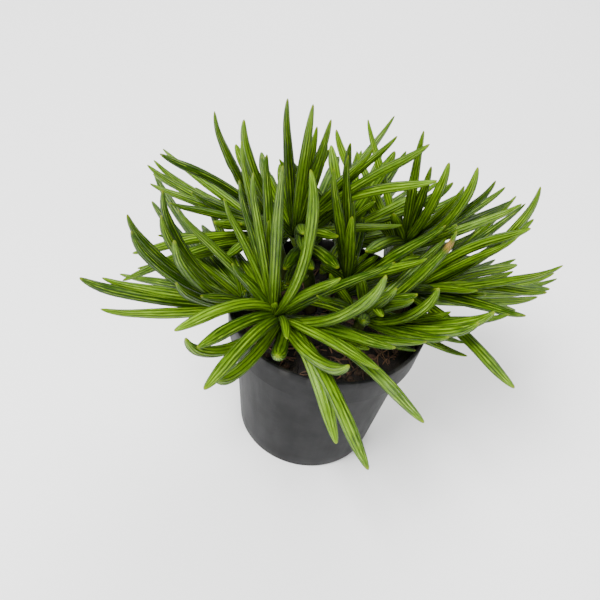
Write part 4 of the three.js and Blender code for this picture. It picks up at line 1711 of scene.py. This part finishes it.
@dataclass
class PottingSoil:
    """The soil with its rough mounded top, its crumbs and its loose fibres.

    Sizes are in mm. The coarse and the fine unevenness each hold a scale, a level and a share.
    """

    pot: PotSizes = field(default_factory=PotSizes)
    sizes: SoilSizes = field(default_factory=SoilSizes)
    sides: int = 96
    rings: int = 34
    relief: float = 0.75
    coarse: tuple[float, float, float] = (0.28, 3.1, 0.75)
    fine: tuple[float, float, float] = (0.9, 7.7, 0.45)
    middle_radius: float = 0.5
    smooth_angle: float = 60
    hole_sides: int = 20
    crumb_count: int = 340
    crumb_size: tuple[float, float] = (0.25, 1.0)
    crumb_power: float = 1.6
    crumb_flatness: tuple[float, float] = (0.35, 0.9)
    crumb_stretch: tuple[float, float] = (1.0, 1.9)
    crumb_tilt: float = 0.5
    crumb_roughness: float = 0.22
    crumb_margin: float = 0.4
    crumb_lift: float = 0.25
    fibre_count: int = 230
    fibre_length: tuple[float, float] = (1.6, 6.0)
    fibre_thickness: tuple[float, float] = (0.12, 0.3)
    fibre_curl: float = 0.9
    fibre_lift: tuple[float, float] = (0.1, 0.5)
    fibre_margin: float = 0.6
    fibre_rings: tuple[float, ...] = (0, -0.3, -0.15, 0.15, 0.3)
    fibre_bow: float = 0.7
    fibre_taper: float = 0.9
    seed: int = 5

    @property
    def top_radius(self) -> float:
        """The radius of the soil's top, in mm."""
        return self.pot.rim_radius - self.pot.wall - self.sizes.edge_gap

    @staticmethod
    def unevenness(x: float, y: float, scale: float, level: float, share: float) -> float:
        """How much a place stands up: a share of a noise, by its scale and its level."""
        return share * noise.noise(Vector((x * scale, y * scale, level)))

    def surface_height(self, x: float, y: float) -> float:
        """The height of the soil's top at a place.

        Args:
            x: the place across, in mm.
            y: the place in depth, in mm.

        Returns:
            The height, in mm.
        """
        share = min(1.0, math.hypot(x, y) / self.top_radius)
        mound = self.sizes.top + self.sizes.mound * (1 - share * share)
        uneven = self.unevenness(x, y, *self.coarse) + self.unevenness(x, y, *self.fine)
        return mound + self.relief * uneven

    def build(self) -> list[bpy.types.Object]:
        """Models the soil and what lies on it.

        Returns:
            The soil bed, the crumbs and the fibres.
        """
        bed = self.bed()
        crumbs = self.crumbs()
        fibres = self.fibres()
        bed.data.materials.append(SoilFinish().material())
        crumbs.data.materials.append(SoilFinish(
            name="soil_crumb_finish", dark=colour(16, 12, 9), light=colour(46, 33, 24),
            toned=True, pale=colour(84, 58, 40)).material())
        fibres.data.materials.append(SoilFinish(
            name="soil_fibre_finish", dark=colour(38, 26, 17), light=colour(72, 50, 34),
            toned=True, pale=colour(122, 90, 64)).material())
        Bench.hand_over(bed, Slot.SOIL, "soil")
        Bench.hand_over(crumbs, Slot.SOIL)
        Bench.hand_over(fibres, Slot.SOIL)
        return [bed, crumbs, fibres]

    def bed(self) -> bpy.types.Object:
        """The body of the soil, with a hole for each stem.

        Returns:
            The body.
        """
        s, gap = self.sizes, self.sizes.seat_gap
        profile = [(self.middle_radius, self.pot.floor + gap), *self.pot.inner_profile(gap)]
        for i in range(self.rings):
            share = 1 - i / self.rings
            profile.append((self.top_radius * share, s.top + s.mound * (1 - share * share)))
        bed = Bench.turned("soil_bed", profile, self.sides)
        points = Bench.coordinates(bed.data) / MM
        for point in points:
            if point[2] > s.top - gap:
                point[2] = self.surface_height(point[0], point[1])
        Bench.move(bed.data, points * MM)
        Bench.cut(bed, [self.borer(stem) for stem in STEMS])
        Bench.smooth(bed, self.smooth_angle)
        return bed

    def borer(self, stem: StemPlan) -> bpy.types.Object:
        """The cutter of one stem's hole.

        Args:
            stem: the stem that stands in it.

        Returns:
            The rod that cuts it.
        """
        s = self.sizes
        depth = s.stem_seat_depth + s.seat_gap
        return Bench.rod(s.stem_foot_radius + s.seat_gap, 2 * depth, (*stem.foot, s.top),
                         self.hole_sides)

    def spot(self, draw: Draw, margin: float) -> tuple[float, float]:
        """Draws a place on the soil, clear of the wall and of the stems' holes.

        Args:
            draw: the seeded draw.
            margin: how far it keeps from them, in mm.

        Returns:
            The place, in mm.
        """
        limit = self.top_radius - margin
        while True:
            reach = limit * math.sqrt(draw.share())
            angle = draw.between(0, 2 * math.pi)
            x, y = reach * math.cos(angle), reach * math.sin(angle)
            nearest = min(math.hypot(x - stem.foot[0], y - stem.foot[1]) for stem in STEMS)
            if nearest > self.sizes.stem_foot_radius + margin:
                return x, y

    def crumbs(self) -> bpy.types.Object:
        """Lumps of peat and flat bits of bark, half sunk in the soil.

        Returns:
            The crumbs, as one piece.
        """
        Bench.clear_selection()
        bpy.ops.mesh.primitive_ico_sphere_add(subdivisions=2, radius=1)
        lump = bpy.context.object
        with Bench.editing(lump):
            bpy.ops.transform.vertex_random(offset=self.crumb_roughness, seed=3)
        shape = Bench.coordinates(lump.data)
        draw = Draw(self.seed)
        copies = []
        for _ in range(self.crumb_count):
            size = draw.between(*self.crumb_size) ** self.crumb_power
            x, y = self.spot(draw, self.crumb_margin + size)
            flat = draw.between(*self.crumb_flatness)
            long = draw.between(*self.crumb_stretch)
            turn = Matrix.Rotation(draw.between(0, 2 * math.pi), 3, "Z")
            tilt = Matrix.Rotation(draw.between(-self.crumb_tilt, self.crumb_tilt), 3, "X")
            scaled = shape * (size * long, size, size * flat)
            placed = scaled @ np.array(turn @ tilt).T
            placed += (x, y, self.surface_height(x, y) + self.crumb_lift * size * flat)
            copies.append(self.bit(lump, placed, draw.share()))
        bpy.data.objects.remove(lump)
        return Bench.join("soil_crumbs", copies)

    def fibres(self) -> bpy.types.Object:
        """Short bent fibres that lie on the soil.

        Returns:
            The fibres, as one piece.
        """
        Bench.clear_selection()
        bpy.ops.mesh.primitive_cylinder_add(vertices=5, radius=1, depth=1, end_fill_type="NGON")
        strand = bpy.context.object
        with Bench.editing(strand):
            for height in self.fibre_rings:
                bpy.ops.mesh.select_all(action="SELECT")
                bpy.ops.mesh.bisect(plane_co=(0, 0, height), plane_no=(0, 0, 1))
        shape = Bench.coordinates(strand.data)
        draw = Draw(self.seed + 1)
        copies = []
        for _ in range(self.fibre_count):
            length = draw.between(*self.fibre_length)
            x, y = self.spot(draw, self.fibre_margin + length / 2)
            thick = draw.between(*self.fibre_thickness)
            heading = draw.between(0, 2 * math.pi)
            curl = draw.between(-self.fibre_curl, self.fibre_curl)
            lift = draw.between(*self.fibre_lift)
            along = shape[:, 2] * length
            bow = curl * (shape[:, 2] ** 2 - 0.25) * length * self.fibre_bow
            taper = thick * (1 - self.fibre_taper * np.abs(shape[:, 2]))
            aside = bow + shape[:, 0] * taper
            placed = np.stack([
                x + along * math.cos(heading) - aside * math.sin(heading),
                y + along * math.sin(heading) + aside * math.cos(heading),
                shape[:, 1] * taper,
            ], axis=1)
            ground = np.array([self.surface_height(px, py) for px, py in placed[:, :2]])
            placed[:, 2] += ground + lift + thick
            copies.append(self.bit(strand, placed, draw.share()))
        bpy.data.objects.remove(strand)
        return Bench.join("soil_fibres", copies)

    @staticmethod
    def bit(master: bpy.types.Object, points: np.ndarray, tone: float) -> bpy.types.Object:
        """A copy of a crumb or a fibre with its own place and tone."""
        return Bench.copy("bit", master, points, bit_tone=np.full(len(points), tone))


@dataclass
class LeafyStems:
    """The nine leafy stems: each is a stem with all its leaves.

    A leaf has fine ribs, a slight ripple and sway, and a tip that hooks up a little. A stem has
    knots along it and narrows at its crown.
    """

    layout: PlantLayout = field(default_factory=PlantLayout)
    leaf_sides: int = 18
    leaf_rings: int = 20
    stem_sides: int = 14
    stem_rings: int = 22
    ring_easing: float = 1.45
    tip_rings: tuple[float, ...] = (0.993, 0.999)
    sunk_rings: tuple[float, ...] = (-1.0, -0.5)
    pattern_shift: float = 400
    ridge: float = 0.022
    ridge_count: int = 9
    ripple: float = 0.025
    ripple_beat: float = 14
    sway: float = 0.35
    thickness: tuple[float, float] = (0.95, 1.05)
    hook: float = 0.022
    hook_from: float = 0.82
    knot: float = 0.05
    knot_beat: float = 34
    crown_from: float = 0.97
    crown_width: float = 0.8
    seed: int = 23

    def build(self) -> list[bpy.types.Object]:
        """Models every leafy stem.

        Returns:
            The nine pieces.
        """
        leaves = self.layout.lay_out()
        skin, bark = LeafSkin().material(), StemBark().material()
        leaf_master = self.bar("leaf_master", self.leaf_sides, self.leaf_places())
        stem_master = self.bar("stem_master", self.stem_sides, self.stem_places())
        draw = Draw(self.seed)
        pieces = []
        for stem in STEMS:
            parts = [self.stem(stem_master, stem, draw)]
            parts[0].data.materials.append(bark)
            for leaf in leaves[stem.name]:
                made = self.leaf(leaf_master, leaf, draw)
                made.data.materials.append(skin)
                parts.append(made)
            piece = Bench.join("leafy_" + stem.name, parts)
            LOG.info("%s carries %d leaves", stem.name, len(parts) - 1)
            Bench.hand_over(piece, Slot.LEAF, stem.name)
            pieces.append(piece)
        bpy.data.objects.remove(leaf_master)
        bpy.data.objects.remove(stem_master)
        return pieces

    def leaf_places(self) -> list[float]:
        """Where a leaf's rings lie, closer together towards its tip.

        Returns:
            Their places from the root (0) to the tip (1).
        """
        places = [i / self.leaf_rings for i in range(self.leaf_rings)]
        eased = [1 - (1 - place) ** self.ring_easing for place in places]
        return [*eased, *self.tip_rings]

    def stem_places(self) -> list[float]:
        """Where a stem's rings lie. The part below 0 stands in the soil."""
        return [*self.sunk_rings, *(i / self.stem_rings for i in range(self.stem_rings + 1))]

    @staticmethod
    def bar(name: str, sides: int, places: list[float]) -> bpy.types.Object:
        """A straight round bar of radius 1, with a ring at each place along it."""
        return Bench.turned(name, [(1, place) for place in places], sides, unit=1)

    def leaf(self, master: bpy.types.Object, leaf: Leaf, draw: Draw) -> bpy.types.Object:
        """A copy of the leaf, bent along its arc.

        Args:
            master: the straight bar that it is copied from.
            leaf: its place, bend and size.
            draw: the seeded draw of its small differences.

        Returns:
            The leaf.
        """
        form = self.layout.form
        shape = Bench.coordinates(master.data)
        part = np.clip(shape[:, 2], 0, 1)
        angle = np.arctan2(shape[:, 1], shape[:, 0])
        tone, offset = draw.share(), draw.between(0, self.pattern_shift)
        sway = draw.between(-self.sway, self.sway)
        thickness = draw.between(*self.thickness)
        beat = draw.between(0, 2 * math.pi)

        width = form.half_width(leaf, part) * thickness
        ribs = self.ridge * np.cos(self.ridge_count * angle)
        ridges = 1 + ribs * np.minimum(1, 4 * part * (1.0 - part))
        width = width * ridges * (1 + self.ripple * np.sin(self.ripple_beat * part + beat))
        heading, slope = leaf.heading, leaf.rise + leaf.bend * part
        side = np.array([math.sin(heading), -math.cos(heading), 0.0])
        over = np.stack([-np.sin(slope) * math.cos(heading),
                         -np.sin(slope) * math.sin(heading), np.cos(slope)], axis=1)
        hooked = np.clip((part - self.hook_from) / (1 - self.hook_from), 0, 1) ** 2
        hook = self.hook * leaf.length * hooked
        points = leaf.points(part)
        points += side * (shape[:, 0] * width + sway * np.sin(math.pi * part))[:, None]
        points += over * (shape[:, 1] * width * form.flatness + hook)[:, None]

        place = np.stack([shape[:, 0] * width, shape[:, 1] * width,
                          part * leaf.length + offset], axis=1)
        look = np.stack([part, np.full(len(part), tone),
                         np.full(len(part), float(leaf.scarred))], axis=1)
        return Bench.copy("leaf", master, points, leaf_place=place, leaf_look=look)

    def stem(self, master: bpy.types.Object, stem: StemPlan, draw: Draw) -> bpy.types.Object:
        """A copy of the bar, bent and swollen as a stem with its leaf scars.

        Args:
            master: the straight bar that it is copied from.
            stem: its foot and crown.
            draw: the seeded draw of its small differences.

        Returns:
            The stem.
        """
        shape = Bench.coordinates(master.data)
        part = shape[:, 2]
        above = np.maximum(0, part)
        centre = self.layout.stem_points(stem, above)
        centre[:, 2] += np.minimum(0, part) * self.layout.soil.stem_seat_depth
        step = 1e-3
        along = (self.layout.stem_points(stem, np.minimum(1, above) + step)
                 - self.layout.stem_points(stem, above - step))
        along /= np.linalg.norm(along, axis=1)[:, None]
        side = np.array([1.0, 0, 0]) - along * along[:, :1]
        side /= np.linalg.norm(side, axis=1)[:, None]
        over = np.cross(side, along)
        beat = above * self.knot_beat + draw.between(0, 6)
        knots = 1 + self.knot * np.sin(beat) * (above > 0)
        crown = np.where(part > self.crown_from, self.crown_width, 1)
        width = self.layout.stem_radius(part) * knots * crown
        points = centre + side * (shape[:, 0] * width)[:, None]
        points += over * (shape[:, 1] * width)[:, None]
        zero = np.zeros((len(part), 3))
        made = Bench.copy("stem", master, points, leaf_place=zero, leaf_look=zero)
        with Bench.editing(made):
            Bench.turn_outward()
        return made


@dataclass(frozen=True)
class Lamp:
    """A square soft light: its place and size in metres, and its power in watts."""

    name: str
    place: tuple[float, float, float]
    size: float
    power: float


@dataclass
class Studio:
    """The pale floor, the soft light and the camera."""

    view: View = field(default_factory=View)
    pot: PotSizes = field(default_factory=PotSizes)
    floor_size: float = 6.0
    sensor: float = 36.0
    sky: float = 0.5
    aim_height: float = 0.06
    clip: tuple[float, float] = (0.01, 20)
    lamps: tuple[Lamp, ...] = (
        Lamp("key_light", (-0.3, -0.3, 0.75), 0.35, 17.0),
        Lamp("front_fill", (0.35, -0.7, 0.45), 0.6, 5.0),
        Lamp("back_light", (0.1, 0.6, 0.6), 0.5, 7.0),
    )

    def build(self) -> None:
        """Sets the stage."""
        self.floor()
        self.camera()
        for lamp in self.lamps:
            self.light(lamp)
        world = bpy.data.worlds.new("studio_world")
        bpy.context.scene.world = world
        world.use_nodes = True
        background = world.node_tree.nodes["Background"]
        background.inputs["Color"].default_value = (1, 1, 1, 1)
        background.inputs["Strength"].default_value = self.sky

    def floor(self) -> None:
        """A wide plain floor at the table's height."""
        Bench.clear_selection()
        bpy.ops.mesh.primitive_plane_add(size=self.floor_size)
        floor = bpy.context.object
        floor.name = "floor"
        floor.data.materials.append(FloorFinish().material())

    def light(self, lamp: Lamp) -> None:
        """Sets up a lamp that faces the plant.

        Args:
            lamp: its place, size and power.
        """
        source = bpy.data.lights.new(lamp.name, "AREA")
        source.shape = "SQUARE"
        source.size = lamp.size
        source.energy = lamp.power
        made = bpy.data.objects.new(lamp.name, source)
        bpy.context.collection.objects.link(made)
        made.location = lamp.place
        aim = Vector((0, 0, self.aim_height)) - Vector(lamp.place)
        made.rotation_euler = aim.to_track_quat("-Z", "Y").to_euler()

    def camera(self) -> None:
        """The camera, at the reference view."""
        right, top, forward = self.view.axes()
        lens = bpy.data.cameras.new("camera")
        lens.sensor_width = self.sensor
        lens.lens = self.view.focal_pixels / self.view.frame_pixels * self.sensor
        lens.clip_start, lens.clip_end = self.clip
        made = bpy.data.objects.new("camera", lens)
        bpy.context.collection.objects.link(made)
        turn = Matrix((right, top, -forward)).transposed().to_4x4()
        made.matrix_world = Matrix.Translation(self.view.eye(self.pot.height) * MM) @ turn
        bpy.context.scene.camera = made


def main() -> None:
    """Builds the pot, the soil, the leafy stems and the studio."""
    logging.basicConfig(level=logging.INFO, format="%(message)s")
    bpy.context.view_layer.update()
    pot = NurseryPot().build()
    soil = PottingSoil().build()
    stems = LeafyStems().build()
    LOG.info("made %d pieces", len([pot, *soil, *stems]))
    Studio().build()


if __name__ == "__main__":
    main()
